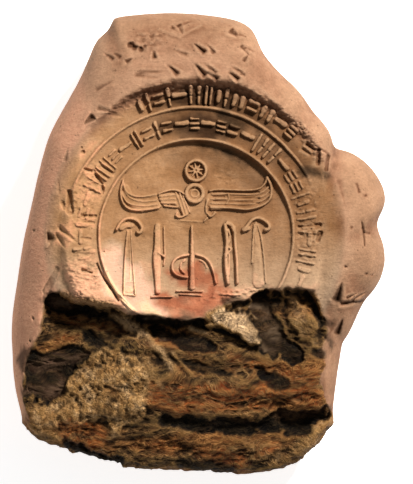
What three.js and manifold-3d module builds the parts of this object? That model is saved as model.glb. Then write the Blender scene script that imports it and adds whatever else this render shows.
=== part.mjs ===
// A clay sealing: a palm-sized lump of clay pressed with a round stamp seal, lying on its back.
// Millimetres. +X is right and +Y is up as one reads the seal, +Z comes out of the sealed face.
// The origin is the middle of the underside. The lump rests on a small flat spot there.

import * as THREE from 'three';
import { mergeVertices } from 'three/addons/utils/BufferGeometryUtils.js';
import Module from 'manifold-3d';

const wasm = await Module();
wasm.setup();
const { Manifold } = wasm;

// Driving sizes of the lump
const WIDTH = 70.7;
const LENGTH = 87.3;
const WAIST_HEIGHT = 13; // height of the widest section above the flat spot
const FACE_RISE = 17; // from the widest section up to the middle of the unpressed face
const BACK_DROP = 13.6; // from the widest section down to the back, before the flat spot
const FACE_FULLNESS = 3.6; // superellipse powers: the higher, the flatter in the middle
const TOP_FULLNESS = 1.4; // added towards the top edge and taken off towards the bottom
const BACK_FULLNESS = 2.6;

// The side lobe that bulges out of the right edge
const LOBE_RISE = 14;
const LOBE_DROP = 11;
const LOBE_FULLNESS = 2.6;

// Driving sizes of the seal impression
const SEAL_DIAMETER = 57.4; // outer edge of the outer band of strokes
const BAND_DIAMETER = 48.8; // ring between the two bands
const FIELD_DIAMETER = 36.3; // ring around the figures
const SEAL_X = -0.6;
const SEAL_Y = 1.2;
const SEAL_DEPTH = 3.3; // middle of the impression below the middle of the face
const SEAL_DOME = 206; // radius that the seal's own domed face leaves
const SEAL_TILT_X = -0.06; // rise per mm to the right: the seal bit deeper at the right
const SEAL_TILT_Y = -0.09; // and deeper at the top
const SEAL_WALL_LEAN = 1.8; // how far the edge of the impression leans out
const SEAL_WALL_HEIGHT = 3;
const PAD_DIAMETER = 46.8; // clay pushed up around the seal where the lump falls away
const PAD_SHOULDER = 1.6;

// Relief sizes
const RING_WIDTH = 1.1;
const RING_HEIGHT = 0.5;
const LOW_RELIEF = 0.55;
const HIGH_RELIEF = 0.9;
const STROKE_HEIGHT = 0.5;
const STROKE_LENGTH = 2.7;
const STROKE_HEAD = 1.1; // width of a stroke at its head and at its tail
const STROKE_TAIL = 0.32;
const FOOT_DEPTH = 0.4; // how far raised work reaches into the clay under it

// The two bands of strokes, counted in degrees from the right
const INNER_STROKES = { from: -28, to: 200, pitch: 1.75 };
const OUTER_STROKES = { from: 38, to: 122, pitch: 1.9 };

// Stylus marks in the face
const MARK_WIDTH = 1.9;
const MARK_DEPTH = 0.9;

// The broken lower end
const BREAK_DROP = 3.6; // from the impression down to the broken core below it
const BREAK_FALL = 8.5; // further down to the lower edge
const RIPPLE_HEIGHT = 0.45;
const RIPPLE_LENGTH = 5.5; // from crest to crest down the break
const RIPPLE_BEND = 39; // length over which the crests wander
const RIPPLE_CROSS = 8.2; // from crest to crest of the finer ripple that slants over them

const ROOM = 20; // how far a cutting body reaches past the clay

// Steps of the curved forms
const BACK_STEPS = 5; // from the widest section to the middle of the back
const FACE_STEPS = 8; // and to the middle of the face
const SEAL_AROUND = 54;
const LAYER_AROUND = 20;
const SEAL_RINGS = [0, 0.35, 0.7, 1]; // radii of the rings that follow the dished surface

const HALF_WIDTH = WIDTH / 2;
const HALF_LENGTH = LENGTH / 2;
const FACE_HEIGHT = WAIST_HEIGHT + FACE_RISE;
const SEAL_RADIUS = SEAL_DIAMETER / 2;
const BAND_RADIUS = BAND_DIAMETER / 2;
const FIELD_RADIUS = FIELD_DIAMETER / 2;
const PAD_RADIUS = PAD_DIAMETER / 2;

// Outlines, clockwise from the top left, as shares of the half width and half length
const LUMP_OUTLINE = [
  [-0.465, 0.976], [-0.27, 0.997], [-0.05, 0.998], [0.185, 0.972], [0.29, 0.925], [0.342, 0.832],
  [0.43, 0.745], [0.53, 0.667], [0.61, 0.576], [0.7, 0.489], [0.735, 0.38], [0.755, 0.2],
  [0.765, 0.02], [0.775, -0.18], [0.785, -0.36], [0.765, -0.5], [0.75, -0.6], [0.735, -0.7],
  [0.725, -0.775], [0.68, -0.83], [0.6, -0.9], [0.51, -0.955], [0.39, -0.986], [0.165, -1.0],
  [-0.05, -0.988], [-0.26, -0.98], [-0.46, -0.965], [-0.59, -0.94], [-0.71, -0.895], [-0.83, -0.858],
  [-0.925, -0.815], [-0.968, -0.72], [-0.995, -0.61], [-1.0, -0.46], [-0.998, -0.33], [-0.982, -0.2],
  [-0.955, -0.03], [-0.922, 0.1], [-0.885, 0.22], [-0.845, 0.34], [-0.795, 0.48], [-0.71, 0.62],
  [-0.645, 0.715], [-0.59, 0.81], [-0.545, 0.885], [-0.48, 0.93],
];
const LOBE_OUTLINE = [
  [0.72, 0.408], [0.8, 0.4], [0.87, 0.37], [0.94, 0.315], [0.993, 0.24], [1.0, 0.175], [0.962, 0.1],
  [0.965, 0.055], [0.99, 0.0], [1.0, -0.065], [0.985, -0.135], [0.945, -0.2], [0.89, -0.255],
  [0.845, -0.335], [0.79, -0.42], [0.7, -0.455], [0.58, -0.4], [0.53, -0.2], [0.52, 0.02],
  [0.53, 0.22], [0.6, 0.36],
];

const LUMP = {
  outline: LUMP_OUTLINE,
  middle: [-0.05, -0.03],
  rise: FACE_RISE,
  drop: BACK_DROP,
  fullness: FACE_FULLNESS,
  topFullness: TOP_FULLNESS,
  around: 78,
};
const LOBE = {
  outline: LOBE_OUTLINE,
  middle: [0.735, -0.01],
  rise: LOBE_RISE,
  drop: LOBE_DROP,
  fullness: LOBE_FULLNESS,
  topFullness: 0,
  around: 40,
};

// Helpers

function solid(geometry) {
  const bare = geometry.index ? geometry.toNonIndexed() : geometry.clone();
  const positions = new THREE.BufferGeometry().setAttribute('position', bare.getAttribute('position'));
  const tolerance = 1e-4;
  const merged = mergeVertices(positions, tolerance);
  return new Manifold(new wasm.Mesh({
    numProp: 3,
    vertProperties: merged.attributes.position.array,
    triVerts: new Uint32Array(merged.index.array),
  }));
}

function geometryOf(manifold) {
  const mesh = manifold.getMesh();
  const geometry = new THREE.BufferGeometry();
  geometry.setAttribute('position', new THREE.BufferAttribute(new Float32Array(mesh.vertProperties), 3));
  geometry.setIndex(new THREE.BufferAttribute(new Uint32Array(mesh.triVerts), 1));
  geometry.computeVertexNormals();
  return geometry;
}

// Moves every vertex of a geometry by a rule that takes and changes a vector.
function shaped(geometry, rule) {
  const positions = geometry.getAttribute('position');
  const point = new THREE.Vector3();
  for (let i = 0; i < positions.count; i += 1) {
    point.fromBufferAttribute(positions, i);
    rule(point);
    positions.setXYZ(i, point.x, point.y, point.z);
  }
  return geometry;
}

function fromShares([across, along]) {
  return new THREE.Vector2(across * HALF_WIDTH, along * HALF_LENGTH);
}

// The distance from a form's middle to its closed outline, as a function of the angle.
function outlineRadius(form) {
  const centre = fromShares(form.middle);
  const points = form.outline.map(fromShares).map((p) => new THREE.Vector3(p.x, p.y, 0));
  const curve = new THREE.CatmullRomCurve3(points, true, 'catmullrom');
  const samplesPerPoint = 12;
  const samples = curve.getPoints(points.length * samplesPerPoint).slice(0, -1).map((p) => {
    const x = p.x - centre.x;
    const y = p.y - centre.y;
    return { angle: Math.atan2(y, x), radius: Math.hypot(x, y) };
  }).sort((a, b) => a.angle - b.angle);
  return (angle) => {
    const turn = Math.atan2(Math.sin(angle), Math.cos(angle));
    let next = samples.findIndex((s) => s.angle > turn);
    if (next < 0) next = 0;
    const after = samples[next];
    const before = samples[(next + samples.length - 1) % samples.length];
    const span = (after.angle - before.angle + 2 * Math.PI) % (2 * Math.PI);
    const gone = (turn - before.angle + 2 * Math.PI) % (2 * Math.PI);
    return THREE.MathUtils.lerp(before.radius, after.radius, span ? gone / span : 0);
  };
}

// Lumps of clay

function fullnessAt(form, angle) {
  return form.fullness + form.topFullness * Math.sin(angle);
}

// A closed pillow on an outline. Its profile is a half circle whose two shares are raised to
// the power of a superellipse.
function pillow(form) {
  const middle = fromShares(form.middle);
  const radiusAt = outlineRadius(form);
  const profile = [];
  for (let i = -BACK_STEPS; i <= FACE_STEPS; i += 1) {
    const turn = (i / (i < 0 ? BACK_STEPS : FACE_STEPS)) * (Math.PI / 2);
    const closed = i === -BACK_STEPS || i === FACE_STEPS;
    profile.push(new THREE.Vector2(closed ? 0 : Math.cos(turn), Math.sin(turn)));
  }
  const turned = new THREE.LatheGeometry(profile, form.around).rotateX(Math.PI / 2);
  return solid(shaped(turned, (p) => {
    const angle = Math.atan2(p.y, p.x);
    const front = p.z > 0;
    const power = 2 / (front ? fullnessAt(form, angle) : BACK_FULLNESS);
    const reach = radiusAt(angle) * Math.hypot(p.x, p.y) ** power;
    const height = (front ? form.rise : -form.drop) * Math.abs(p.z) ** power;
    p.set(middle.x + reach * Math.cos(angle), middle.y + reach * Math.sin(angle), WAIST_HEIGHT + height);
  }));
}

// The height of a pillow's face over a place.
function faceHeightOf(form) {
  const middle = fromShares(form.middle);
  const radiusAt = outlineRadius(form);
  const nearEdge = 0.999;
  return (x, y) => {
    const angle = Math.atan2(y - middle.y, x - middle.x);
    const share = Math.min(Math.hypot(x - middle.x, y - middle.y) / radiusAt(angle), nearEdge);
    const fullness = fullnessAt(form, angle);
    return WAIST_HEIGHT + form.rise * (1 - share ** fullness) ** (1 / fullness);
  };
}

// The seal's own surface, and bodies that follow it

function sealHeight(x, y) {
  const dx = x - SEAL_X;
  const dy = y - SEAL_Y;
  const dome = (dx * dx + dy * dy) / (2 * SEAL_DOME);
  return FACE_HEIGHT - SEAL_DEPTH + dome + SEAL_TILT_X * dx + SEAL_TILT_Y * dy;
}

// Turns a profile of [radius, height above the impression] around the seal's middle.
function sealTurned(profile, around = SEAL_AROUND) {
  const points = profile.map(([radius, height]) => new THREE.Vector2(radius, height));
  const turned = new THREE.LatheGeometry(points, around).rotateX(Math.PI / 2);
  return solid(shaped(turned, (p) => {
    const x = p.x + SEAL_X;
    const y = p.y + SEAL_Y;
    p.set(x, y, p.z + sealHeight(x, y));
  }));
}

// A layer of even thickness over the impression, out to the seal's edge.
function sealLayer(thickness) {
  const rings = SEAL_RINGS.map((share) => share * SEAL_RADIUS);
  const under = rings.map((radius) => [radius, -FOOT_DEPTH * 2]);
  const over = rings.map((radius) => [radius, thickness]).reverse();
  return sealTurned([...under, ...over], LAYER_AROUND);
}

// What the seal pressed away: everything over its own surface, within a wall that leans out.
function sealCutter() {
  const wide = SEAL_RADIUS + SEAL_WALL_LEAN * 2;
  const floor = SEAL_RINGS.map((share) => [share * wide, 0]);
  const over = sealTurned([...floor, [wide, ROOM], [0, ROOM]], LAYER_AROUND);
  const wall = sealTurned([
    [0, -SEAL_WALL_HEIGHT],
    [SEAL_RADIUS - SEAL_WALL_LEAN, -SEAL_WALL_HEIGHT],
    [SEAL_RADIUS + SEAL_WALL_LEAN, SEAL_WALL_HEIGHT],
    [SEAL_RADIUS + SEAL_WALL_LEAN, ROOM],
    [0, ROOM],
  ]);
  return over.intersect(wall);
}

// Clay to hold the impression where it stands over the lump, with a shoulder rounded in two steps.
function pushedUpPad() {
  const foot = -FACE_RISE / 2;
  const top = RING_HEIGHT / 2;
  const [outAt, downAt] = [0.6, 0.35];
  return sealTurned([
    [0, foot],
    [PAD_RADIUS + PAD_SHOULDER, foot],
    [PAD_RADIUS + PAD_SHOULDER, -PAD_SHOULDER],
    [PAD_RADIUS + PAD_SHOULDER * outAt, -PAD_SHOULDER * downAt],
    [PAD_RADIUS, top],
    [0, top],
  ]);
}

function raisedRing(radius) {
  return sealTurned([
    [radius - RING_WIDTH / 2, -FOOT_DEPTH],
    [radius + RING_WIDTH / 2, -FOOT_DEPTH],
    [radius, RING_HEIGHT],
    [radius - RING_WIDTH / 2, -FOOT_DEPTH],
  ]);
}

// Flat shapes in the seal's field, in shares of the field's radius, made into tall prisms

function fieldPoint([across, along]) {
  return new THREE.Vector2(SEAL_X + across * FIELD_RADIUS, SEAL_Y + along * FIELD_RADIUS);
}

function prism(points) {
  const shape = new THREE.Shape(points);
  return solid(new THREE.ExtrudeGeometry(shape, { depth: FACE_HEIGHT + ROOM, bevelEnabled: false }));
}

// A band along a run of points, with its own half width at each end.
function band(points, halfStart, halfEnd) {
  const left = [];
  const right = [];
  points.forEach((point, i) => {
    const before = points[Math.max(i - 1, 0)];
    const after = points[Math.min(i + 1, points.length - 1)];
    const way = after.clone().sub(before).normalize();
    const half = THREE.MathUtils.lerp(halfStart, halfEnd, i / (points.length - 1));
    const out = new THREE.Vector2(-way.y, way.x).multiplyScalar(half);
    left.push(point.clone().add(out));
    right.push(point.clone().sub(out));
  });
  return prism([...left, ...right.reverse()]);
}

function arc(centre, radius, from, to, steps) {
  return Array.from({ length: steps + 1 }, (_, i) => {
    const turn = THREE.MathUtils.degToRad(from + ((to - from) * i) / steps);
    return [centre[0] + radius * Math.cos(turn), centre[1] + radius * Math.sin(turn)];
  });
}

function disc(centre, radius, steps = 18) {
  return prism(arc(centre, radius, 0, 360, steps).slice(0, -1).map(fieldPoint));
}

function mirrored([across, along]) {
  return [-across, along];
}

// Each list of figures is drawn for the right half and mirrored to the left.
function onBothSides(draw) {
  const asDrawn = (point) => point;
  return [asDrawn, mirrored].flatMap((side) => draw((points) => points.map(side).map(fieldPoint)));
}

// The figures: rosette, winged disc, pillars under curled caps, standing figures, spike and curl

const ROSETTE = { centre: [0.005, 0.684], radius: 0.122, rim: 0.035, rays: 8 };
const SUN = { centre: [0, 0.44], radius: 0.105, rim: 0.035 };

function rosette() {
  const { centre, radius, rim, rays } = ROSETTE;
  const ring = disc(centre, radius).subtract(disc(centre, radius - rim));
  const ray = (i) => {
    const [tip] = arc(centre, radius - rim / 2, (360 / rays) * i, (360 / rays) * i, 1);
    const half = FIELD_RADIUS * 0.014;
    return band([centre, tip].map(fieldPoint), half, half);
  };
  return [ring, ...Array.from({ length: rays }, (_, i) => ray(i))];
}

function sunDisc() {
  const ring = disc(SUN.centre, SUN.radius).subtract(disc(SUN.centre, SUN.radius - SUN.rim));
  return [ring, disc(SUN.centre, SUN.radius * 0.4, 10)];
}

const WING_OUTLINE = [
  [0.1, 0.46], [0.195, 0.5], [0.34, 0.488], [0.5, 0.462], [0.64, 0.455], [0.72, 0.485], [0.765, 0.59],
  [0.795, 0.5], [0.79, 0.4], [0.73, 0.315], [0.62, 0.262], [0.5, 0.265], [0.38, 0.285], [0.26, 0.28],
  [0.17, 0.235], [0.09, 0.215],
];
const WING_FEATHERS = 4;

function wings() {
  return onBothSides((place) => [prism(place(WING_OUTLINE))]);
}

// Raised feather bars run along the wing, bending up at its tip.
function feathers() {
  const half = FIELD_RADIUS * 0.015;
  return onBothSides((place) => Array.from({ length: WING_FEATHERS }, (_, i) => {
    const drop = (0.165 * i) / (WING_FEATHERS - 1);
    const inner = band(place([[0.13, 0.44 - drop], [0.36, 0.465 - drop]]), half, half);
    const tip = 0.735 + drop * 0.28;
    const outer = band(place([
      [0.42, 0.45 - drop], [0.6, 0.44 - drop], [tip - 0.04, 0.47 - drop * 0.8], [tip, 0.53 - drop * 0.75],
    ]), half, half / 2);
    return [inner, outer];
  }).flat());
}

function tailCurls() {
  const half = FIELD_RADIUS * 0.02;
  return onBothSides((place) => [band(place([[0.075, 0.33], [0.085, 0.24], [0.13, 0.2]]), half, half)]);
}

const PILLAR_X = 0.66;

function pillars() {
  const capHalf = FIELD_RADIUS * 0.034;
  const cap = [
    ...arc([PILLAR_X - 0.085, 0.085], 0.05, 330, 180, 4),
    ...arc([PILLAR_X, 0.08], 0.115, 165, 15, 8),
    ...arc([PILLAR_X + 0.085, 0.085], 0.05, 0, -150, 4),
  ];
  const shaft = [
    [PILLAR_X - 0.012, 0.13], [PILLAR_X + 0.012, 0.13],
    [PILLAR_X + 0.07, -0.56], [PILLAR_X - 0.07, -0.56],
  ];
  return onBothSides((place) => [band(place(cap), capHalf, capHalf), prism(place(shaft))]);
}

function pillarRibs() {
  const half = FIELD_RADIUS * 0.014;
  return onBothSides((place) => [-1, 0, 1].map((side) => band(
    place([[PILLAR_X, 0.11], [PILLAR_X + side * 0.055, -0.55]]), half / 2, half,
  )));
}

const FIGURE_X = 0.37;
const FIGURE_OUTLINE = [
  [-0.045, 0.13], [-0.03, 0.155], [0.03, 0.155], [0.048, 0.125], [0.04, -0.03], [0.066, -0.1],
  [0.07, -0.2], [0.058, -0.36], [0.05, -0.53], [-0.05, -0.53], [-0.055, -0.36], [-0.07, -0.2],
  [-0.062, -0.1], [-0.04, -0.03],
];

function standingFigures() {
  return onBothSides((place) => [prism(place(FIGURE_OUTLINE.map(([x, y]) => [x + FIGURE_X, y])))]);
}

function figureLimbs() {
  const half = FIELD_RADIUS * 0.018;
  return onBothSides((place) => [-1, 1].map((side) => band(
    place([[0.02, -0.12], [0.042, -0.3], [0.032, -0.51]].map(([x, y]) => [FIGURE_X + side * x, y])),
    half, half,
  )));
}

const SPIKE_X = -0.02;

function spike() {
  return [prism([
    [SPIKE_X, 0.135], [SPIKE_X + 0.03, 0.0], [SPIKE_X + 0.036, -0.53], [SPIKE_X - 0.036, -0.53],
    [SPIKE_X - 0.03, 0.0],
  ].map(fieldPoint))];
}

function curlAndArch() {
  const half = FIELD_RADIUS * 0.024;
  const curl = arc([-0.12, -0.3], 0.085, 60, 300, 10);
  const arch = [
    [-0.02, -0.2], [0.08, -0.195], [0.15, -0.25], [0.185, -0.35], [0.245, -0.44], [0.3, -0.51],
  ];
  return [band(curl.map(fieldPoint), half, half), band(arch.map(fieldPoint), half, half / 2)];
}

function groundBars() {
  const half = FIELD_RADIUS * 0.018;
  return [
    [[-0.18, -0.585], [0.06, -0.585]],
    [[-0.47, -0.64], [-0.12, -0.64]],
    [[0.2, -0.6], [0.5, -0.595]],
  ].map((run) => band(run.map(fieldPoint), half, half));
}

// Rows of plain wedge strokes, raised, in the two bands around the field

function wedgeStroke(x, y, turn, length) {
  const middle = new THREE.Vector2(x, y);
  const at = (run, side) => new THREE.Vector2(x + run, y + side).rotateAround(middle, turn);
  return prism([
    at(-length / 2, -STROKE_HEAD / 2),
    at(length / 2, -STROKE_TAIL / 2),
    at(length / 2, STROKE_TAIL / 2),
    at(-length / 2, STROKE_HEAD / 2),
  ]);
}

// By turns a stroke stands across the band, lies along its foot, and lies along its top.
function bandOfStrokes(middle, { from, to, pitch }) {
  const step = THREE.MathUtils.radToDeg(pitch / middle);
  const count = Math.floor((to - from) / step);
  const lyingLength = STROKE_LENGTH * 0.85;
  return Array.from({ length: count }, (_, i) => {
    const turn = THREE.MathUtils.degToRad(from + (i + 0.5) * step);
    const standing = i % 3 === 0;
    const side = i % 3 === 1 ? -1 : 1;
    const radius = standing ? middle : middle + side * (STROKE_LENGTH - STROKE_HEAD) / 2;
    const heading = standing ? turn + Math.PI : turn + Math.PI / 2;
    const length = standing ? STROKE_LENGTH : lyingLength;
    const x = SEAL_X + radius * Math.cos(turn);
    const y = SEAL_Y + radius * Math.sin(turn);
    return wedgeStroke(x, y, heading, length);
  });
}

function strokes() {
  return [
    ...bandOfStrokes((FIELD_RADIUS + BAND_RADIUS) / 2, INNER_STROKES),
    ...bandOfStrokes((BAND_RADIUS + SEAL_RADIUS) / 2, OUTER_STROKES),
  ];
}

// Stylus marks: a three-sided dent, deep at its head and running out at its tail
// Each is [across, along] in shares of the half sizes, heading in degrees, length in mm.
const MARKS = [
  [-0.06, 0.86, -55, 4], [0.21, 0.84, -30, 4.4], [0.04, 0.79, -45, 4.6], [0.12, 0.77, -30, 3.6],
  [0.28, 0.78, -20, 4.2], [-0.35, 0.78, -35, 4], [-0.26, 0.76, -70, 2.6], [-0.12, 0.69, -45, 4.4],
  [0.03, 0.7, -48, 5], [0.11, 0.69, -40, 4.4], [0.2, 0.68, -50, 4.2], [-0.45, 0.52, -25, 4.4],
  [-0.55, 0.49, 215, 3.2], [-0.6, 0.35, 180, 3.6], [-0.68, 0.2, 240, 3.4], [-0.71, 0.03, 205, 3.2],
  [-0.79, 0.0, 180, 3.4], [-0.67, -0.03, -40, 5], [0.5, 0.6, -50, 5], [0.66, 0.37, -40, 4],
  [0.64, 0.31, -95, 3.2], [0.7, 0.31, -95, 3.2], [0.79, -0.22, 205, 5.5], [0.86, -0.2, 30, 4.4],
  [0.735, -0.41, 245, 4], [-0.8, -0.36, 255, 3],
];

function stylusMark(surface, [across, along, degrees, length]) {
  const middle = fromShares([across, along]);
  const turn = THREE.MathUtils.degToRad(degrees);
  const way = new THREE.Vector2(Math.cos(turn), Math.sin(turn));
  const corner = (run, side, height) => {
    const x = middle.x + way.x * run - way.y * side;
    const y = middle.y + way.y * run + way.x * side;
    return new THREE.Vector3(x, y, surface(x, y) + height);
  };
  const head = -length / 2;
  return tetrahedron([
    corner(head, MARK_WIDTH / 2, MARK_DEPTH),
    corner(head, -MARK_WIDTH / 2, MARK_DEPTH),
    corner(head + MARK_WIDTH / 2, 0, -MARK_DEPTH),
    corner(-head, 0, MARK_DEPTH / 2),
  ]);
}

function tetrahedron([a, b, c, d]) {
  const volume = b.clone().sub(a).cross(c.clone().sub(a)).dot(d.clone().sub(a));
  const [p, q] = volume > 0 ? [b, c] : [c, b];
  const faces = [[a, q, p], [a, p, d], [p, q, d], [q, a, d]];
  return solid(new THREE.BufferGeometry().setFromPoints(faces.flat()));
}

// The broken lower end

// Ragged edge of the break, clockwise from its top left corner, in shares of the half sizes.
// Below it the broken floor simply runs out through the lump's rounded sides.
const BREAK_EDGE = [
  [-0.8, -0.22], [-0.73, -0.205], [-0.66, -0.25], [-0.54, -0.26], [-0.46, -0.27], [-0.38, -0.3],
  [-0.26, -0.315], [-0.13, -0.33], [0.01, -0.33], [0.08, -0.3], [0.14, -0.26], [0.25, -0.245],
  [0.34, -0.2], [0.49, -0.195], [0.615, -0.21], [0.66, -0.28], [0.7, -0.38], [0.665, -0.45],
  [0.69, -0.52], [0.95, -0.58], [1.1, -1.15], [-1.1, -1.15], [-1.02, -0.78], [-0.955, -0.63],
  [-0.925, -0.5], [-0.89, -0.44], [-0.85, -0.38], [-0.83, -0.29],
];
// Rises and hollows of the broken core: [across, along, reach across, reach along, rise in mm].
const BREAK_LUMPS = [
  [-0.36, -0.62, 0.3, 0.17, 2.6], [0.22, -0.35, 0.16, 0.08, 2.4], [-0.72, -0.3, 0.12, 0.06, -2.2],
  [-0.74, -0.56, 0.2, 0.12, -2.4], [0.42, -0.33, 0.16, 0.12, -1.8], [0.5, -0.78, 0.22, 0.07, -1.6],
  [0.2, -0.66, 0.3, 0.07, 1.3], [-0.15, -0.36, 0.3, 0.03, -1.2], [-0.6, -0.87, 0.12, 0.08, -1.8],
  [0.62, -0.62, 0.1, 0.2, 1.2], [0.66, -0.75, 0.12, 0.035, -2.2],
];

const BREAK_START = -0.22; // share of the half length where the floor starts to fall
const BREAK_LIMIT = -0.15; // and the upper limit of the block that cuts it

function breakFloor(x, y) {
  const start = BREAK_START * HALF_LENGTH;
  const gone = THREE.MathUtils.clamp((start - y) / (start + HALF_LENGTH), 0, 1.3);
  const lumps = BREAK_LUMPS.reduce((sum, [across, along, wide, long, rise]) => {
    const u = (x / HALF_WIDTH - across) / wide;
    const v = (y / HALF_LENGTH - along) / long;
    return sum + rise * Math.exp(-(u * u + v * v) / 2);
  }, 0);
  const turn = 2 * Math.PI;
  const bend = Math.sin((turn * x) / RIPPLE_BEND) * 1.6;
  const slanting = Math.sin((turn * (x - y)) / RIPPLE_CROSS) / 2;
  const ripple = Math.sin((turn * y) / RIPPLE_LENGTH + bend) + slanting;
  const top = sealHeight(SEAL_X, start) - BREAK_DROP;
  return top - BREAK_FALL * gone * gone + lumps + RIPPLE_HEIGHT * ripple;
}

// A block whose under face is the broken floor, cut to the ragged edge.
function breakCutter() {
  const [stepsAcross, stepsAlong] = [32, 18];
  const margin = 5;
  const top = FACE_HEIGHT + ROOM;
  const low = -HALF_LENGTH - margin;
  const high = BREAK_LIMIT * HALF_LENGTH;
  const block = new THREE.BoxGeometry(WIDTH + 2 * margin, high - low, top, stepsAcross, stepsAlong, 1);
  const rough = solid(shaped(block, (p) => {
    const y = p.y + (high + low) / 2;
    p.set(p.x, y, p.z > 0 ? top : breakFloor(p.x, y));
  }));
  return rough.intersect(prism(BREAK_EDGE.map(fromShares)));
}

// Assembly

function clay() {
  const pad = pushedUpPad().intersect(prism(LUMP_OUTLINE.map(fromShares)));
  const blank = Manifold.union([pillow(LUMP), pillow(LOBE), pad]);

  const low = Manifold.union([
    ...wings(), ...pillars(), ...standingFigures(), ...curlAndArch(), ...groundBars(), ...tailCurls(),
    ...rosette(), ...sunDisc(),
  ]).intersect(sealLayer(LOW_RELIEF));
  const high = Manifold.union([
    ...feathers(), ...pillarRibs(), ...figureLimbs(), ...spike(),
  ]).intersect(sealLayer(HIGH_RELIEF));
  const words = Manifold.union(strokes()).intersect(sealLayer(STROKE_HEIGHT));
  const relief = Manifold.union([low, high, words, raisedRing(FIELD_RADIUS), raisedRing(BAND_RADIUS)]);

  const lumpFace = faceHeightOf(LUMP);
  const lobeFace = faceHeightOf(LOBE);
  const faceAt = (x, y) => Math.max(lumpFace(x, y), lobeFace(x, y));
  const marks = Manifold.union(MARKS.map((mark) => stylusMark(faceAt, mark)));
  const ground = solid(new THREE.BoxGeometry(WIDTH * 2, LENGTH * 2, ROOM).translate(0, 0, -ROOM / 2));
  const pressed = blank.subtract(sealCutter()).add(relief.intersect(blank));
  return pressed.subtract(marks).subtract(breakCutter()).subtract(ground);
}

const sealing = new THREE.Mesh(
  geometryOf(clay()),
  new THREE.MeshStandardMaterial({ color: '#c19a78', roughness: 0.9, metalness: 0 }),
);
sealing.name = 'clay_sealing';

const part = new THREE.Group();
part.add(sealing);

export default part;
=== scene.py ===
import math

import bmesh
import bpy
import numpy as np
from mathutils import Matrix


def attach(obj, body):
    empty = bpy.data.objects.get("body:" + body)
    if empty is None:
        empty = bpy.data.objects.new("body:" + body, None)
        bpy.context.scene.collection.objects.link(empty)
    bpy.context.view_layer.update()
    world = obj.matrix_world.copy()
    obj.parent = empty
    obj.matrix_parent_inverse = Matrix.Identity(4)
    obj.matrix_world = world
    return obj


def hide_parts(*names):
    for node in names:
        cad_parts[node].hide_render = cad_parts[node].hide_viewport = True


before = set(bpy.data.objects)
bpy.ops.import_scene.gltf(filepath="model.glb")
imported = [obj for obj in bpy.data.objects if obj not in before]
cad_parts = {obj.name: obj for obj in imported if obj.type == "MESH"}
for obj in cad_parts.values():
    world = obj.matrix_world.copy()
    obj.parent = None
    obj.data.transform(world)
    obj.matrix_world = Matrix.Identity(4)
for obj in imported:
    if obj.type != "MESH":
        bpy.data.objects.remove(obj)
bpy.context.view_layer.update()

# The clay lump
# A palm-sized lump of river clay, squeezed flat on its back, with a lobe pushed out at its
# right edge. Its lower end broke away and shows the coarse, chaff-filled core.

MM = 0.001
HALF = np.array([70.7 / 2, 87.3 / 2])  # half the width and half the length
WAIST = 13.0  # height of the widest section
BACK_FULLNESS = 2.6
COARSE_VOXEL = 0.6
LUMP = {
    "outline": [
        (-0.465, 0.976), (-0.27, 0.997), (-0.05, 0.998), (0.185, 0.972), (0.29, 0.925),
        (0.342, 0.832), (0.43, 0.745), (0.53, 0.667), (0.61, 0.576), (0.7, 0.489), (0.735, 0.38),
        (0.755, 0.2), (0.765, 0.02), (0.775, -0.18), (0.785, -0.36), (0.765, -0.5), (0.75, -0.6),
        (0.735, -0.7), (0.725, -0.775), (0.68, -0.83), (0.6, -0.9), (0.51, -0.955),
        (0.39, -0.986), (0.165, -1.0), (-0.05, -0.988), (-0.26, -0.98), (-0.46, -0.965),
        (-0.59, -0.94), (-0.71, -0.895), (-0.83, -0.858), (-0.925, -0.815), (-0.968, -0.72),
        (-0.995, -0.61), (-1.0, -0.46), (-0.998, -0.33), (-0.982, -0.2), (-0.955, -0.03),
        (-0.922, 0.1), (-0.885, 0.22), (-0.845, 0.34), (-0.795, 0.48), (-0.71, 0.62),
        (-0.645, 0.715), (-0.59, 0.81), (-0.545, 0.885), (-0.48, 0.93),
    ],
    "middle": (-0.05, -0.03),
    "rise": 17.0,
    "drop": 13.6,
    "fullness": 3.6,
    "top_fullness": 1.4,
}
LOBE = {
    "outline": [
        (0.72, 0.408), (0.8, 0.4), (0.87, 0.37), (0.94, 0.315), (0.993, 0.24), (1.0, 0.175),
        (0.962, 0.1), (0.965, 0.055), (0.99, 0.0), (1.0, -0.065), (0.985, -0.135), (0.945, -0.2),
        (0.89, -0.255), (0.845, -0.335), (0.79, -0.42), (0.7, -0.455), (0.58, -0.4),
        (0.53, -0.2), (0.52, 0.02), (0.53, 0.22), (0.6, 0.36),
    ],
    "middle": (0.735, -0.01),
    "rise": 14.0,
    "drop": 11.0,
    "fullness": 2.6,
    "top_fullness": 0.0,
}


def outline_radius(form):
    """The distance from a form's middle to its smooth closed outline, by angle."""
    points = np.array(form["outline"]) * HALF
    middle = np.array(form["middle"]) * HALF
    t = np.linspace(0, 1, 12, endpoint=False)[:, None]
    a, b, c, d = (np.roll(points, shift, axis=0)[:, None, :] for shift in (1, 0, -1, -2))
    loop = b + (c - a) * t / 2 + (a - 2.5 * b + 2 * c - d / 2) * t**2 + (1.5 * (b - c) + (d - a) / 2) * t**3
    x, y = (loop.reshape(-1, 2) - middle).T
    angle = np.arctan2(y, x)
    order = np.argsort(angle)
    return lambda turn: np.interp(turn, angle[order], np.hypot(x, y)[order], period=2 * math.pi)


def read_places(mesh):
    """Every vertex's place, in millimetres."""
    flat = np.empty(len(mesh.vertices) * 3, np.float32)
    mesh.vertices.foreach_get("co", flat)
    return flat.reshape(-1, 3).astype(float) / MM


def reshape(mesh, rule):
    """Moves every vertex of a mesh by a rule on an array of places in millimetres."""
    mesh.vertices.foreach_set("co", (rule(read_places(mesh)) * MM).ravel().astype(np.float32))
    mesh.update()


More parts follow.
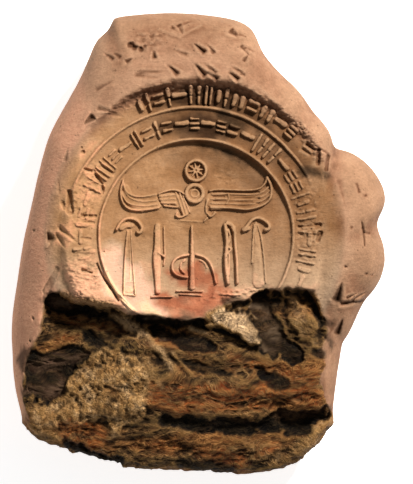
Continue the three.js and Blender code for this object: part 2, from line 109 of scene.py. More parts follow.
def pillow(bm, form):
    """Adds a closed superellipse pillow on an outline, from a plain sphere."""
    radius_at = outline_radius(form)
    middle = np.array(form["middle"]) * HALF
    made = bmesh.ops.create_uvsphere(bm, u_segments=200, v_segments=100, radius=1)["verts"]
    places = np.array([vert.co for vert in made])
    angle = np.arctan2(places[:, 1], places[:, 0])
    front = places[:, 2] > 0
    fullness = np.where(front, form["fullness"] + form["top_fullness"] * np.sin(angle), BACK_FULLNESS)
    reach = np.clip(np.hypot(places[:, 0], places[:, 1]), 0, 1) ** (2 / fullness) * radius_at(angle)
    height = np.where(front, form["rise"], -form["drop"]) * np.abs(places[:, 2]) ** (2 / fullness)
    x, y = middle[0] + reach * np.cos(angle), middle[1] + reach * np.sin(angle)
    for vert, place in zip(made, np.stack([x, y, WAIST + height], 1) * MM):
        vert.co = place


lump_bm = bmesh.new()
pillow(lump_bm, LUMP)
pillow(lump_bm, LOBE)
mesh = bpy.data.meshes.new("clay_sealing_skin")
lump_bm.to_mesh(mesh)
lump_bm.free()
clay = bpy.data.objects.new("clay_sealing_skin", mesh)
bpy.context.scene.collection.objects.link(clay)


def bake(piece, kind, **settings):
    """Gives a piece one modifier and keeps its result as the mesh."""
    modifier = piece.modifiers.new(kind.title(), kind)
    for name, value in settings.items():
        setattr(modifier, name, value)
    with bpy.context.temp_override(object=piece, active_object=piece, selected_objects=[piece]):
        bpy.ops.object.modifier_apply(modifier=modifier.name)


bake(clay, "REMESH", mode="VOXEL", voxel_size=COARSE_VOXEL * MM)

# The seal impression, pressed into the lump's face
# A round stamp seal with a slightly domed face was pushed in once, deeper at its top and
# right. It left a dish with two raised rings, and pushed a pad of clay up at its left.

SEAL = np.array([-0.6, 1.2])  # the middle of the impression
FACE = 30.0  # height of the unpressed face
SEAL_DEPTH = 3.3
SEAL_DOME = 206.0  # radius of the stamp's domed face
SEAL_TILT = np.array([-0.06, -0.09])  # rise per mm across and along
SEAL_RADIUS = 28.2
WALL_SLOPE = 0.5
TOP_WALL_SLOPE = 1.9
PAD_RADIUS = 23.4
PAD_SHOULDER = 1.6
PAD_RISE = 0.25


def grain(places, size, seed=0):
    """Smooth noise from -1 to 1 whose lumps measure size, in mm, along each axis."""
    scaled = places / np.asarray(size, float)
    cell = np.floor(scaled).astype(np.int64)
    part = scaled - cell
    part = part * part * part * (part * (part * 6 - 15) + 10)
    total = np.zeros(len(places))
    for corner in np.ndindex(2, 2, 2):
        key = cell + np.array(corner)
        hashed = key[:, 0] * 73856093 ^ key[:, 1] * 19349663 ^ key[:, 2] * 83492791 ^ (seed * 2654435761)
        hashed = ((hashed ^ (hashed >> 13)) * 1274126177) & 0xFFFFFFFF
        value = ((hashed ^ (hashed >> 16)) & 0xFFFF) / 32767.5 - 1
        share = np.where(np.array(corner) == 1, part, 1 - part)
        total += value * share.prod(axis=1)
    return total


def rough(places, size, seed=0, layers=3):
    """Layered noise, each layer half the size and a little over half the height of the last."""
    total = sum(0.55**i * grain(places, np.asarray(size, float) / 2**i, seed + 7 * i) for i in range(layers))
    return total / sum(0.55**i for i in range(layers))


def smooth(low, high, value):
    """A soft step from 0 at low to 1 at high."""
    share = np.clip((value - low) / (high - low), 0, 1)
    return share * share * (3 - 2 * share)


def seal_polar(x, y):
    return np.hypot(x - SEAL[0], y - SEAL[1]), np.arctan2(y - SEAL[1], x - SEAL[0])


def seal_height(x, y):
    dx, dy = x - SEAL[0], y - SEAL[1]
    dome = (dx * dx + dy * dy) / (2 * SEAL_DOME)
    return FACE - SEAL_DEPTH + dome + SEAL_TILT[0] * dx + SEAL_TILT[1] * dy


def pressed(places):
    """Pushes the pad up and the seal's dish down; the dish has a steep wall only at its top."""
    x, y, z = places.T
    radius, angle = seal_polar(x, y)
    surface = seal_height(x, y)
    ragged = 0.4 * rough(places * (1, 1, 0), 4, seed=3) + 0.25 * rough(places * (1, 1, 0), 1.3, seed=5)
    over = np.clip((radius - PAD_RADIUS - ragged) / PAD_SHOULDER, 0, None)
    pad = surface + PAD_RISE - 1.3 * over**2
    near = (z > WAIST) & (radius < PAD_RADIUS + 2 * PAD_SHOULDER)
    z = np.where(near, np.maximum(z, pad), z)
    slope = WALL_SLOPE + (TOP_WALL_SLOPE - WALL_SLOPE) * smooth(0.1, 0.6, np.sin(angle - 0.15))
    cut = surface + np.clip(radius - SEAL_RADIUS - ragged, 0, None) * slope
    return np.stack([x, y, np.where(z > WAIST, np.minimum(z, cut), z)], 1)


reshape(mesh, pressed)

# The broken lower end
# The clay parted here in a ragged line under the seal. The core behind it is coarse, full of
# chaff and root fibres, and packed with dark soil.

BREAK_EDGE = np.array([
    (-0.8, -0.22), (-0.73, -0.205), (-0.66, -0.25), (-0.54, -0.26), (-0.46, -0.27), (-0.38, -0.3),
    (-0.26, -0.315), (-0.13, -0.33), (0.01, -0.33), (0.08, -0.3), (0.14, -0.26), (0.25, -0.245),
    (0.34, -0.2), (0.49, -0.195), (0.615, -0.21), (0.66, -0.28), (0.7, -0.38), (0.665, -0.45),
    (0.69, -0.52), (0.95, -0.58), (1.1, -1.15), (-1.1, -1.15), (-1.02, -0.78), (-0.955, -0.63),
    (-0.925, -0.5), (-0.89, -0.44), (-0.85, -0.38), (-0.83, -0.29),
]) * HALF
BREAK_LUMPS = [  # across, along, reach across, reach along, rise in mm
    (-0.36, -0.62, 0.3, 0.17, 2.6), (0.22, -0.35, 0.16, 0.08, 2.4), (-0.72, -0.3, 0.12, 0.06, -2.2),
    (-0.74, -0.56, 0.2, 0.12, -2.4), (0.42, -0.33, 0.16, 0.12, -1.8), (0.5, -0.78, 0.22, 0.07, -1.6),
    (0.2, -0.66, 0.3, 0.07, 1.3), (-0.15, -0.36, 0.3, 0.03, -1.2), (-0.6, -0.87, 0.12, 0.08, -1.8),
    (0.62, -0.62, 0.1, 0.2, 1.2), (0.66, -0.75, 0.12, 0.035, -2.2),
]
BREAK_START = -0.22 * HALF[1]
BREAK_DROP = 3.6  # from the seal down to the core
BREAK_FALL = 8.5  # from there to the lower end
RIPPLE_HEIGHT = 0.35
BREAK_WALL_SLOPE = 9.0
FINE_VOXEL = 0.5


def inside_loop(x, y, loop):
    """The distance to a closed loop, positive inside it."""
    nearest = np.full(x.shape, 1e9)
    crossings = np.zeros(x.shape, bool)
    for (ax, ay), (bx, by) in zip(loop, np.roll(loop, -1, axis=0)):
        wx, wy = bx - ax, by - ay
        t = np.clip(((x - ax) * wx + (y - ay) * wy) / (wx * wx + wy * wy), 0, 1)
        nearest = np.minimum(nearest, np.hypot(x - ax - t * wx, y - ay - t * wy))
        if ay != by:
            crossings ^= ((ay > y) != (by > y)) & (x < wx * (y - ay) / wy + ax)
    return np.where(crossings, nearest, -nearest)


def break_depth(places):
    """How far inside the break's ragged edge a place is."""
    flat = places * (1, 1, 0)
    return inside_loop(places[:, 0], places[:, 1], BREAK_EDGE) + 0.5 * rough(flat, 2.2, seed=11)


def break_floor(x, y):
    gone = np.clip((BREAK_START - y) / (BREAK_START + HALF[1]), 0, 1.3)
    turn = 2 * math.pi
    bend = 1.6 * np.sin(turn * x / 39)
    ripple = np.sin(turn * y / 5.5 + bend) + np.sin(turn * (x - y) / 8.2) / 2
    height = seal_height(SEAL[0], BREAK_START) - BREAK_DROP - BREAK_FALL * gone * gone
    for across, along, wide, tall, rise in BREAK_LUMPS:
        u = (x / HALF[0] - across) / wide
        v = (y / HALF[1] - along) / tall
        height = height + rise * np.exp(-(u * u + v * v) / 2)
    return height + RIPPLE_HEIGHT * ripple


def broken(places):
    x, y, z = places.T
    depth = break_depth(places)
    cut = break_floor(x, y) + np.clip(0.5 - depth, 0, None) * BREAK_WALL_SLOPE
    take = (z > cut) & (depth > -0.6) & (z > WAIST)
    return np.stack([x, y, np.where(take, cut, z)], 1)


reshape(mesh, broken)
bake(clay, "REMESH", mode="VOXEL", voxel_size=FINE_VOXEL * MM)
bake(clay, "SUBSURF", levels=1, render_levels=1)
mesh = clay.data

# The relief that the seal left
# Everything here stands up by about a millimetre: two rings, a rosette over a winged disc, and
# two pillars and two standing figures beside a spike. Rows of plain strokes run around it.

FIELD_RADIUS = 18.15
RING_RADIUS = 18.3
RING_SHIFT = 0.33  # the ring sits this far off the seal's middle
RING_SHIFT_TURN = math.radians(40)
BAND_RADIUS = 24.4
RING_HEIGHT = 0.75
RING_HALF = 0.3
FIGURE_LIFT = 1.4
INNER_ROW = (-26, 188)  # where the strokes start and end, in degrees
OUTER_ROW = (46, 113)
OUTER_LIFT = 1.2


def arc(middle, radius, start, end, steps=12):
    turns = np.radians(np.linspace(start, end, steps + 1))
    return [(middle[0] + radius * math.cos(t), middle[1] + radius * math.sin(t)) for t in turns]


# Each is a run of points and half widths, in shares of the field's radius, with a rise in mm.
ROSETTE = (0.008, 0.691)
DISC = (-0.005, 0.453)
FIGURES = [
    (arc(ROSETTE, 0.03, 0, 360, 8), (0.06,), -0.4),
    *[([arc(ROSETTE, 0.02, turn, turn, 1)[0], arc(ROSETTE, 0.075, turn, turn, 1)[0]], (0.016, 0.012), 0.45)
      for turn in range(10, 370, 45)],
    (arc(ROSETTE, 0.105, 0, 360, 24), (0.02,), 0.9),
    (arc(DISC, 0.03, 0, 360, 8), (0.055,), 0.25),
    (arc(DISC, 0.125, 175, 290, 10), (0.016,), -0.3),
    (arc(DISC, 0.088, 0, 360, 20), (0.022,), 0.85),
    (arc(DISC, 0.04, 0, 360, 10), (0.012,), 0.45),
    # Left wing: its body, its two edges, three long feathers and the covert feathers
    ([(-0.719, 0.518), (-0.686, 0.387), (-0.581, 0.348), (-0.398, 0.374)], (0.033, 0.059, 0.072, 0.079),
      0.3),
    ([(-0.359, 0.381), (-0.228, 0.407), (-0.136, 0.348), (-0.097, 0.25)], (0.062, 0.06, 0.055, 0.03), 0.32),
    ([(-0.749, 0.584), (-0.732, 0.492), (-0.686, 0.44), (-0.581, 0.411), (-0.398, 0.442),
      (-0.319, 0.473), (-0.228, 0.495), (-0.136, 0.466), (-0.09, 0.42)], (0.014,), 0.62),
    ([(-0.749, 0.584), (-0.775, 0.505), (-0.775, 0.414), (-0.745, 0.335), (-0.686, 0.285),
      (-0.581, 0.272), (-0.477, 0.285), (-0.385, 0.302)], (0.014,), 0.62),
    ([(-0.745, 0.518), (-0.719, 0.44), (-0.647, 0.385), (-0.529, 0.364), (-0.405, 0.381)], (0.01,), 0.52),
    ([(-0.764, 0.466), (-0.732, 0.374), (-0.66, 0.332), (-0.529, 0.319), (-0.398, 0.338)], (0.01,), 0.52),
    ([(-0.395, 0.453), (-0.385, 0.387), (-0.333, 0.309)], (0.009,), -0.3),
    ([(-0.372, 0.42), (-0.221, 0.437)], (0.009,), 0.52),
    ([(-0.369, 0.387), (-0.215, 0.394)], (0.009,), 0.52),
    ([(-0.351, 0.353), (-0.202, 0.351)], (0.009,), 0.52),
    ([(-0.322, 0.322), (-0.189, 0.309)], (0.009,), 0.5),
    ([(-0.202, 0.459), (-0.162, 0.361), (-0.123, 0.23)], (0.01,), 0.55),
    ([(-0.162, 0.453), (-0.126, 0.348), (-0.09, 0.237)], (0.01,), 0.55),
    ([(-0.126, 0.427), (-0.09, 0.335), (-0.058, 0.257)], (0.01,), 0.55),
    # Right wing, cut deeper
    ([(0.191, 0.387), (0.4, 0.387), (0.623, 0.387), (0.741, 0.466)], (0.085, 0.08, 0.08, 0.045), 0.28),
    ([(0.152, 0.479), (0.23, 0.495), (0.361, 0.49), (0.531, 0.482), (0.662, 0.495), (0.721, 0.545),
      (0.747, 0.616)], (0.014,), 0.72),
    ([(0.165, 0.306), (0.335, 0.306), (0.466, 0.293), (0.544, 0.285), (0.688, 0.319), (0.78, 0.387),
      (0.796, 0.479), (0.78, 0.558), (0.747, 0.616)], (0.016,), 0.78),
    ([(0.178, 0.442), (0.335, 0.45), (0.544, 0.437), (0.688, 0.453), (0.76, 0.518)], (0.011,), 0.56),
    ([(0.165, 0.394), (0.309, 0.398), (0.544, 0.387), (0.715, 0.42), (0.777, 0.492)], (0.011,), 0.56),
    ([(0.171, 0.348), (0.335, 0.348), (0.544, 0.335), (0.702, 0.372), (0.787, 0.453)], (0.011,), 0.56),
    ([(0.191, 0.469), (0.335, 0.466), (0.662, 0.463)], (0.01,), -0.35),
    ([(0.191, 0.416), (0.296, 0.416)], (0.01,), -0.35),
    ([(0.342, 0.394), (0.662, 0.403)], (0.01,), -0.35),
    ([(0.191, 0.372), (0.335, 0.368), (0.662, 0.351)], (0.008,), -0.25),
    ([(0.342, 0.453), (0.355, 0.387), (0.322, 0.346)], (0.01,), 0.62),
    # Tail curls, and a faint line under them
    ([(-0.09, 0.23), (-0.162, 0.198), (-0.202, 0.217), (-0.191, 0.246)], (0.012,), 0.5),
    ([(0.132, 0.387), (0.11, 0.322), (0.119, 0.243), (0.165, 0.204), (0.204, 0.25)], (0.012,), 0.6),
    ([(0.123, 0.283), (0.128, 0.204)], (0.009,), -0.4),
    ([(0.126, 0.198), (0.093, 0.165)], (0.01,), 0.4),
    ([(-0.202, 0.178), (-0.058, 0.162), (0.093, 0.158)], (0.006,), 0.2),
    # Left pillar under its curled cap
    ([(-0.689, 0.047), (-0.686, -0.529)], (0.025, 0.055), 0.16),
    ([(-0.764, 0.093), (-0.712, 0.126), (-0.666, 0.119)], (0.03,), 0.45),
    ([(-0.814, 0.08), (-0.784, 0.139), (-0.732, 0.185), (-0.673, 0.198), (-0.607, 0.178),
      (-0.568, 0.132), (-0.552, 0.073), (-0.575, 0.041), (-0.601, 0.047)], (0.02,), 0.72),
    ([(-0.66, 0.156), (-0.605, 0.136), (-0.575, 0.093)], (0.012,), -0.45),
    ([(-0.627, 0.054), (-0.594, 0.008), (-0.566, 0.021)], (0.01,), -0.4),
    ([(-0.702, 0.06), (-0.732, -0.202), (-0.738, -0.594)], (0.01,), 0.5),
    ([(-0.666, 0.06), (-0.653, -0.202), (-0.62, -0.594)], (0.01,), 0.5),
    ([(-0.686, 0.047), (-0.675, -0.202), (-0.673, -0.45)], (0.006,), 0.32),
    ([(-0.738, -0.463), (-0.62, -0.463)], (0.006,), 0.3),
    ([(-0.741, -0.594), (-0.623, -0.607)], (0.008,), 0.35),
    # Right pillar
    ([(0.626, 0.139), (0.643, -0.084), (0.656, -0.476)], (0.015, 0.035, 0.06), 0.22),
    ([(0.505, 0.073), (0.544, 0.119), (0.584, 0.178), (0.649, 0.204), (0.721, 0.178), (0.773, 0.126),
      (0.767, 0.08), (0.728, 0.073)], (0.02,), 0.68),
    ([(0.505, 0.076), (0.551, 0.089)], (0.026,), 0.6),
    ([(0.612, 0.126), (0.597, -0.084), (0.592, -0.267)], (0.01,), 0.45),
    ([(0.649, 0.126), (0.702, -0.058), (0.734, -0.476)], (0.01,), 0.42),
    ([(0.63, 0.152), (0.623, -0.058)], (0.008,), 0.45),
    ([(0.603, -0.267), (0.597, -0.476)], (0.006,), 0.2),
    # Left standing figure
    ([(-0.391, 0.113), (-0.391, -0.084), (-0.398, -0.215), (-0.391, -0.398),
      (-0.385, -0.568)], (0.031, 0.034, 0.045, 0.034, 0.029), 0.58),
    ([(-0.322, 0.099), (-0.319, -0.084), (-0.313, -0.202), (-0.326, -0.293)], (0.012,), 0.4),
    ([(-0.351, 0.113), (-0.348, -0.097)], (0.01,), -0.35),
    ([(-0.343, -0.267), (-0.346, -0.568)], (0.009,), -0.3),
    ([(-0.385, -0.162), (-0.326, -0.202)], (0.012,), 0.72),
    # Right standing figure, the boldest
    ([(0.28, 0.126), (0.272, -0.084), (0.27, -0.267), (0.293, -0.45)], (0.012,), -0.45),
    ([(0.309, 0.126), (0.326, 0.008), (0.332, -0.084), (0.315, -0.202), (0.322, -0.346),
      (0.342, -0.476)], (0.02,), 0.82),
    ([(0.335, 0.145), (0.387, 0.126), (0.394, 0.073)], (0.024,), 0.7),
    ([(0.342, 0.073), (0.368, -0.005), (0.342, -0.084)], (0.012,), 0.7),
    ([(0.322, -0.097), (0.381, -0.123), (0.335, -0.175)], (0.014,), 0.8),
    ([(0.351, -0.175), (0.348, -0.398)], (0.014,), 0.75),
    ([(0.374, 0.073), (0.372, -0.071)], (0.011,), -0.5),
    ([(0.377, -0.175), (0.38, -0.476)], (0.012,), -0.6),
    ([(0.407, 0.099), (0.416, -0.084), (0.433, -0.241), (0.437, -0.476)], (0.018,), 0.66),
    ([(0.466, -0.123), (0.476, -0.162)], (0.01,), -0.3),
    ([(0.466, -0.385), (0.482, -0.424)], (0.01,), -0.3),
    # Spike in its circle
    ([(-0.071, -0.186), (-0.162, -0.202), (-0.221, -0.241), (-0.247, -0.306), (-0.221, -0.378),
      (-0.149, -0.411), (-0.084, -0.418)], (0.014,), 0.58),
    ([(-0.11, -0.241), (-0.149, -0.28), (-0.156, -0.332), (-0.11, -0.378)], (0.01,), 0.42),
    ([(-0.13, -0.267), (-0.136, -0.332)], (0.008,), -0.25),
    ([(0.008, -0.182), (0.099, -0.208), (0.158, -0.274), (0.191, -0.359), (0.217, -0.476)], (0.014,), 0.58),
    ([(0.047, -0.241), (0.099, -0.267), (0.119, -0.319)], (0.008,), 0.3),
    ([(-0.058, 0.073), (-0.06, -0.136)], (0.008,), -0.3),
    ([(0.005, -0.228), (0.008, -0.522)], (0.009,), -0.35),
    ([(-0.035, 0.113), (-0.031, -0.136), (-0.029, -0.522)], (0.008, 0.022, 0.032), 0.92),
    # Ground line, in four lengths
    ([(-0.45, -0.62), (-0.241, -0.62)], (0.012,), 0.5),
    ([(-0.195, -0.562), (0.073, -0.565)], (0.01,), 0.5),
    ([(-0.162, -0.594), (0.06, -0.607)], (0.01,), 0.4),
    ([(0.283, -0.594), (0.466, -0.601)], (0.012,), 0.4),
]


def within_run(x, y, run, halves):
    """How far inside a band along a run of points a place is."""
    inside = np.full(x.shape, -9.0)
    run = np.asarray(run, float)
    halves = np.interp(np.arange(len(run)), np.linspace(0, len(run) - 1, len(halves)), halves)
    for i in range(len(run) - 1):
        (ax, ay), (bx, by) = run[i], run[i + 1]
        wx, wy = bx - ax, by - ay
        t = np.clip(((x - ax) * wx + (y - ay) * wy) / (wx * wx + wy * wy + 1e-9), 0, 1)
        away = np.hypot(x - ax - t * wx, y - ay - t * wy)
        inside = np.maximum(inside, halves[i] + (halves[i + 1] - halves[i]) * t - away)
    return inside


def softened(run):
    """A run of points with its corners cut twice."""
    run = np.asarray(run, float)
    for _ in range(2):
        cut = np.stack([0.75 * run[:-1] + 0.25 * run[1:], 0.25 * run[:-1] + 0.75 * run[1:]], 1)
        run = np.concatenate([run[:1], cut.reshape(-1, 2), run[-1:]])
    return run


def lifted(rise, height, share):
    """Raises a relief to a height, or cuts it by a negative one, by a share from 0 to 1."""
    return rise + share * (np.clip(height - rise, 0, None) if height > 0 else height)


# A stroke is a plain bar, a little wider at its head, that lies straight out or straight across.
# Each is (across, out, heading from straight out, length, half width), in mm in its cell.
STROKE_GROUPS = [
    (0.6, [(0.0, 0.0, 0.0, 3.3, 0.24)]),
    (1.3, [(-0.45, 0.0, 0.0, 3.0, 0.2), (0.45, 0.1, 0.0, 3.1, 0.22)]),
    (0.7, [(0.0, 0.95, 0.0, 1.2, 0.32), (0.0, -0.9, 0.0, 1.1, 0.26)]),
    (1.9, [(0.0, 0.9, 1.57, 1.7, 0.28), (0.0, -0.5, 1.57, 1.6, 0.3)]),
    (2.1, [(0.0, 0.3, 1.57, 2.0, 0.42)]),
    (1.5, [(0.0, 1.0, 1.57, 1.4, 0.22), (0.0, 0.1, 1.57, 1.4, 0.22), (0.0, -0.8, 1.57, 1.4, 0.22)]),
    (0.9, [(0.0, 0.1, 0.0, 1.7, 0.42)]),
]


def stroke_row(x, y, middle, start, end, seed):
    """Groups of plain bars along an arc of the seal, as a height from 0 to 1."""
    draw = np.random.default_rng(seed)
    rise = np.zeros(x.shape)
    turn = start
    while turn < end:
        width, strokes = STROKE_GROUPS[draw.integers(len(STROKE_GROUPS))]
        middle_turn = math.radians(turn + math.degrees(width / middle) / 2)
        turn += math.degrees((width + draw.uniform(0.6, 0.9)) / middle)
        strength, flip = draw.uniform(0.7, 1.0), draw.choice((-1, 1))
        cx, cy = SEAL[0] + middle * math.cos(middle_turn), SEAL[1] + middle * math.sin(middle_turn)
        close = np.hypot(x - cx, y - cy) < 3
        dx, dy = x[close] - cx, y[close] - cy
        out = dx * math.cos(middle_turn) + dy * math.sin(middle_turn)
        side = flip * (-dx * math.sin(middle_turn) + dy * math.cos(middle_turn))
        inside = np.full(dx.shape, -9.0)
        for across, along, heading, length, half in strokes:
            heading += draw.uniform(-0.03, 0.03)
            wx, wy = math.sin(heading) * length / 2, math.cos(heading) * length / 2
            run = [(across - wx, along - wy), (across + wx, along + wy)]
            inside = np.maximum(inside, within_run(side, out, run, (0.85 * half, half)))
        inside = inside + 0.09 * grain(np.stack([dx + cx, dy + cy, 0 * dx], 1), 0.7, seed)
        rise[close] = np.maximum(rise[close], strength * smooth(-0.12, 0.12, inside))
    return rise


def relief(places):
    x, y, _ = places.T
    radius, angle = seal_polar(x, y)
    flat = places * (1, 1, 0)
    wander = 0.2 * rough(flat, 9, seed=21)
    ring = radius - RING_RADIUS - wander - RING_SHIFT * np.cos(angle - RING_SHIFT_TURN)
    band = radius - BAND_RADIUS - wander + 0.35 * np.cos(angle)
    band_shows = smooth(0.3, 0.62, np.sin(angle - 0.05))
    rise = RING_HEIGHT * smooth(-0.22, 0.2, RING_HALF - np.abs(ring))
    rise = np.maximum(rise, RING_HEIGHT * band_shows * smooth(-0.22, 0.2, RING_HALF - np.abs(band)))
    u, v = (x - SEAL[0]) / FIELD_RADIUS, (y - SEAL[1]) / FIELD_RADIUS
    in_field = radius < FIELD_RADIUS
    for run, halves, height in FIGURES:
        reach = max(halves) + 0.02
        low, high = np.min(run, axis=0) - reach, np.max(run, axis=0) + reach
        close = in_field & (u > low[0]) & (u < high[0]) & (v > low[1]) & (v < high[1])
        inside = within_run(u[close], v[close], softened(run), halves) * FIELD_RADIUS
        rise[close] = lifted(rise[close], FIGURE_LIFT * height, smooth(-0.12, 0.2, inside))
    inner = stroke_row(x, y, (FIELD_RADIUS + BAND_RADIUS) / 2, *INNER_ROW, 5)
    outer = stroke_row(x, y, (BAND_RADIUS + SEAL_RADIUS) / 2 + 0.4, *OUTER_ROW, 8)
    bold = 0.45 + 0.55 * smooth(0.45, 0.85, np.sin(angle + 0.1))
    rise = np.maximum.reduce([rise, inner * bold, OUTER_LIFT * outer])
    worn = 0.9 + 0.25 * rough(flat, 4.0, seed=31)
    return rise * np.clip(worn, 0.5, 1.1) * smooth(1.0, 0.4, radius - SEAL_RADIUS)


def field_floor(x, y):
    """The field is sunk a little inside its ring, most at the upper right."""
    radius, angle = seal_polar(x, y)
    deep = 0.1 + 0.9 * smooth(0.5, 0.98, np.cos(angle - math.radians(68)))
    edge = RING_RADIUS + RING_SHIFT * np.cos(angle - RING_SHIFT_TURN)
    return -deep * smooth(0.1, 1.0, edge - radius) * smooth(3, 16, radius)


def impressed(places):
    x, y, z = places.T
    sealed = smooth(-0.4, 0.4, z - seal_height(x, y) + 0.6) * smooth(0.2, 0.8, -break_depth(places) + 0.4)
    lift = relief(places) + field_floor(x, y)
    return np.stack([x, y, z + lift * sealed * (z > WAIST)], 1)


def in_seal_face(face):
    """True for a face of the mesh on the seal's disc."""
    x, y, z = face.calc_center_median() / MM
    radius, _ = seal_polar(x, y)
    return radius < SEAL_RADIUS + 1 and z > seal_height(x, y) - 1.2 and y > BREAK_START - 0.12 * HALF[1]


fine_bm = bmesh.new()
fine_bm.from_mesh(mesh)
fine_edges = {edge for face in fine_bm.faces if in_seal_face(face) for edge in face.edges}
bmesh.ops.subdivide_edges(fine_bm, edges=list(fine_edges), cuts=1, use_grid_fill=True)
fine_bm.to_mesh(mesh)
fine_bm.free()
reshape(mesh, impressed)

# The writing in the unsealed clay
# A reed stylus was pushed into the damp face by its corner. Each dent is three-sided, deep at
# its head, and runs out in a tail; plain dents stand in for the worn signs. Drying opened cracks.

MARKS = [  # across, along in mm, heading from head to tail in degrees, length, half width, depth
    (0.2, 36.8, 142, 2.9, 0.5, 0.9), (2.3, 36.7, 131, 2.4, 0.4, 0.4), (-3.5, 36.1, 160, 3.2, 0.35, 0.25),
    (-8.3, 35.6, 100, 1.6, 0.4, 0.55), (-16.9, 35.3, 145, 2.2, 0.4, 0.35), (-15.4, 35.5, 150, 1.8, 0.3, 0.3),
    (-13.0, 34.4, 35, 1.5, 0.4, 0.55), (-3.0, 41.2, 20, 4.2, 0.4, 0.3), (-3.4, 40.2, -62, 2.2, 0.45, 0.45),
    (-4.4, 40.2, -30, 2.0, 0.35, 0.3), (6.7, 39.4, -40, 2.2, 0.6, 0.75), (7.9, 39.2, -14, 2.3, 0.35, 0.4),
    (8.8, 36.2, -46, 2.6, 0.4, 0.5), (9.8, 36.4, -20, 2.4, 0.3, 0.35), (9.0, 34.9, 58, 1.8, 0.35, 0.45),
    (-4.8, 32.7, 138, 2.8, 0.5, 0.6), (0.3, 32.7, 132, 3.2, 0.55, 0.9), (2.3, 32.9, 140, 2.9, 0.45, 0.5),
    (2.6, 31.6, 150, 2.6, 0.5, 0.85), (6.6, 31.6, 145, 2.6, 0.55, 0.9), (7.2, 32.7, 148, 2.6, 0.4, 0.4),
    (8.0, 31.8, 178, 1.5, 0.3, 0.4), (-8.7, 32.2, 4, 5.0, 0.4, 0.2), (-9.6, 31.4, -6, 4.5, 0.4, 0.2),
    (-20.8, 23.2, 225, 2.4, 0.65, 0.75), (-17.2, 24.9, -15, 3.8, 0.4, 0.3),
    (-15.6, 24.1, -8, 3.0, 0.35, 0.25), (-17.3, 14.1, 148, 3.1, 0.4, 0.5), (-27.6, 0.8, 0, 1.9, 1.05, 1.0),
    (-28.3, -0.7, 235, 1.8, 0.3, 0.35), (-24.6, 1.5, -38, 4.4, 0.5, 0.5), (-25.9, 0.2, -54, 3.6, 0.5, 0.4),
    (21.3, 18.0, -32, 2.7, 0.4, 0.7), (20.4, 17.2, -36, 2.2, 0.35, 0.5), (26.6, -9.1, 75, 3.9, 0.8, 1.5),
    (29.2, -11.2, 8, 4.6, 0.45, 1.2), (28.9, -10.0, 30, 2.2, 0.35, 0.9), (30.3, -10.0, 33, 3.4, 0.35, 0.9),
    (31.3, -10.7, 36, 2.4, 0.3, 0.5), (26.8, -15.7, 70, 3.2, 0.45, 0.9), (-24.8, 16.8, 80, 2.6, 0.3, 0.25),
    (-26.3, 11.0, 95, 3.0, 0.3, 0.2), (27.0, 9.5, -75, 5.0, 0.6, 0.15), (12.5, 27.6, -40, 4.0, 0.4, 0.2),
    (-17.5, 29.8, 30, 4.0, 0.4, 0.2),
]
CRACKS = [  # points in mm, half widths, depth in mm, where a negative depth is a ridge
    ([(-21.4, 13.9), (-19.7, 13.5), (-18.7, 12.0), (-18.1, 10.5), (-18.1, 9.4)], (0.12, 0.2, 0.1), 0.7),
    ([(-24.3, 9.6), (-24.2, 6.1)], (0.35, 0.6), 0.9), ([(-25.6, 7.6), (-25.2, 6.6)], (0.3,), 0.4),
    ([(-21.9, 5.1), (-19.4, 5.1)], (0.14, 0.1), 0.55), ([(-21.6, 4.0), (-19.8, 3.9)], (0.1,), 0.35),
    ([(-21.9, 1.0), (-20.4, 0.8)], (0.1,), 0.4), ([(-21.8, -5.1), (-20.1, -5.6)], (0.2, 0.1), 0.7),
    ([(-23.0, -1.4), (-19.8, -1.5)], (0.3,), -0.3),
    ([(-19.1, -3.9), (-18.3, -5.8), (-17.2, -7.4), (-16.1, -8.9), (-15.1, -10.8)], (0.02, 0.2, 0.1), 0.9),
    ([(-15.1, -9.8), (-12.1, -12.5)], (0.05, 0.02), 0.5), ([(-26.7, -4.9), (-28.6, -9.0)], (0.4, 0.8), 0.35),
    ([(22.7, 17.5), (22.5, 15.0)], (0.3,), 0.9), ([(24.4, 16.4), (24.1, 13.9)], (0.3,), 0.9),
    ([(22.9, 17.7), (24.3, 17.0)], (0.12,), 0.4), ([(18.9, 3.1), (22.9, 3.4)], (0.1, 0.3), 0.7),
    ([(22.9, 1.9), (22.5, 0.6)], (0.4, 0.3), 0.8), ([(19.0, 2.2), (22.6, 2.2)], (0.1, 0.45), -0.4),
    ([(29.9, 11.1), (30.3, 9.7)], (0.1,), 0.4),
    ([(30.7, 4.0), (31.1, 2.1), (31.3, -0.5)], (0.06, 0.22, 0.06), 0.7),
    ([(31.2, 2.0), (32.1, 1.8)], (0.08,), 0.4), ([(-7.5, 40.3), (-3.6, 39.0), (0.5, 41.0)], (0.2,), -0.15),
]
PITS = [  # across, along, radius, depth in mm
    (-12.8, 37.3, 0.8, 0.8), (-12.0, 36.8, 0.7, 0.7), (-10.9, 36.6, 0.6, 0.6), (-10.1, 37.1, 0.5, 0.4),
    (-21.7, 17.2, 0.45, 0.5), (-22.0, 18.0, 0.3, 0.4), (27.8, -4.5, 0.45, 0.5), (31.6, -5.8, 0.4, 0.5),
    (32.6, -6.0, 0.3, 0.4), (-31.0, 2.4, 0.3, 0.3), (-31.2, -14.2, 0.35, 0.4), (-31.8, -18.4, 0.35, 0.5),
    (-17.8, -1.6, 0.25, 0.4), (25.5, 9.0, 0.3, 0.3), (31.6, 9.0, 0.4, 0.3), (28.8, 3.0, 0.3, 0.25),
]
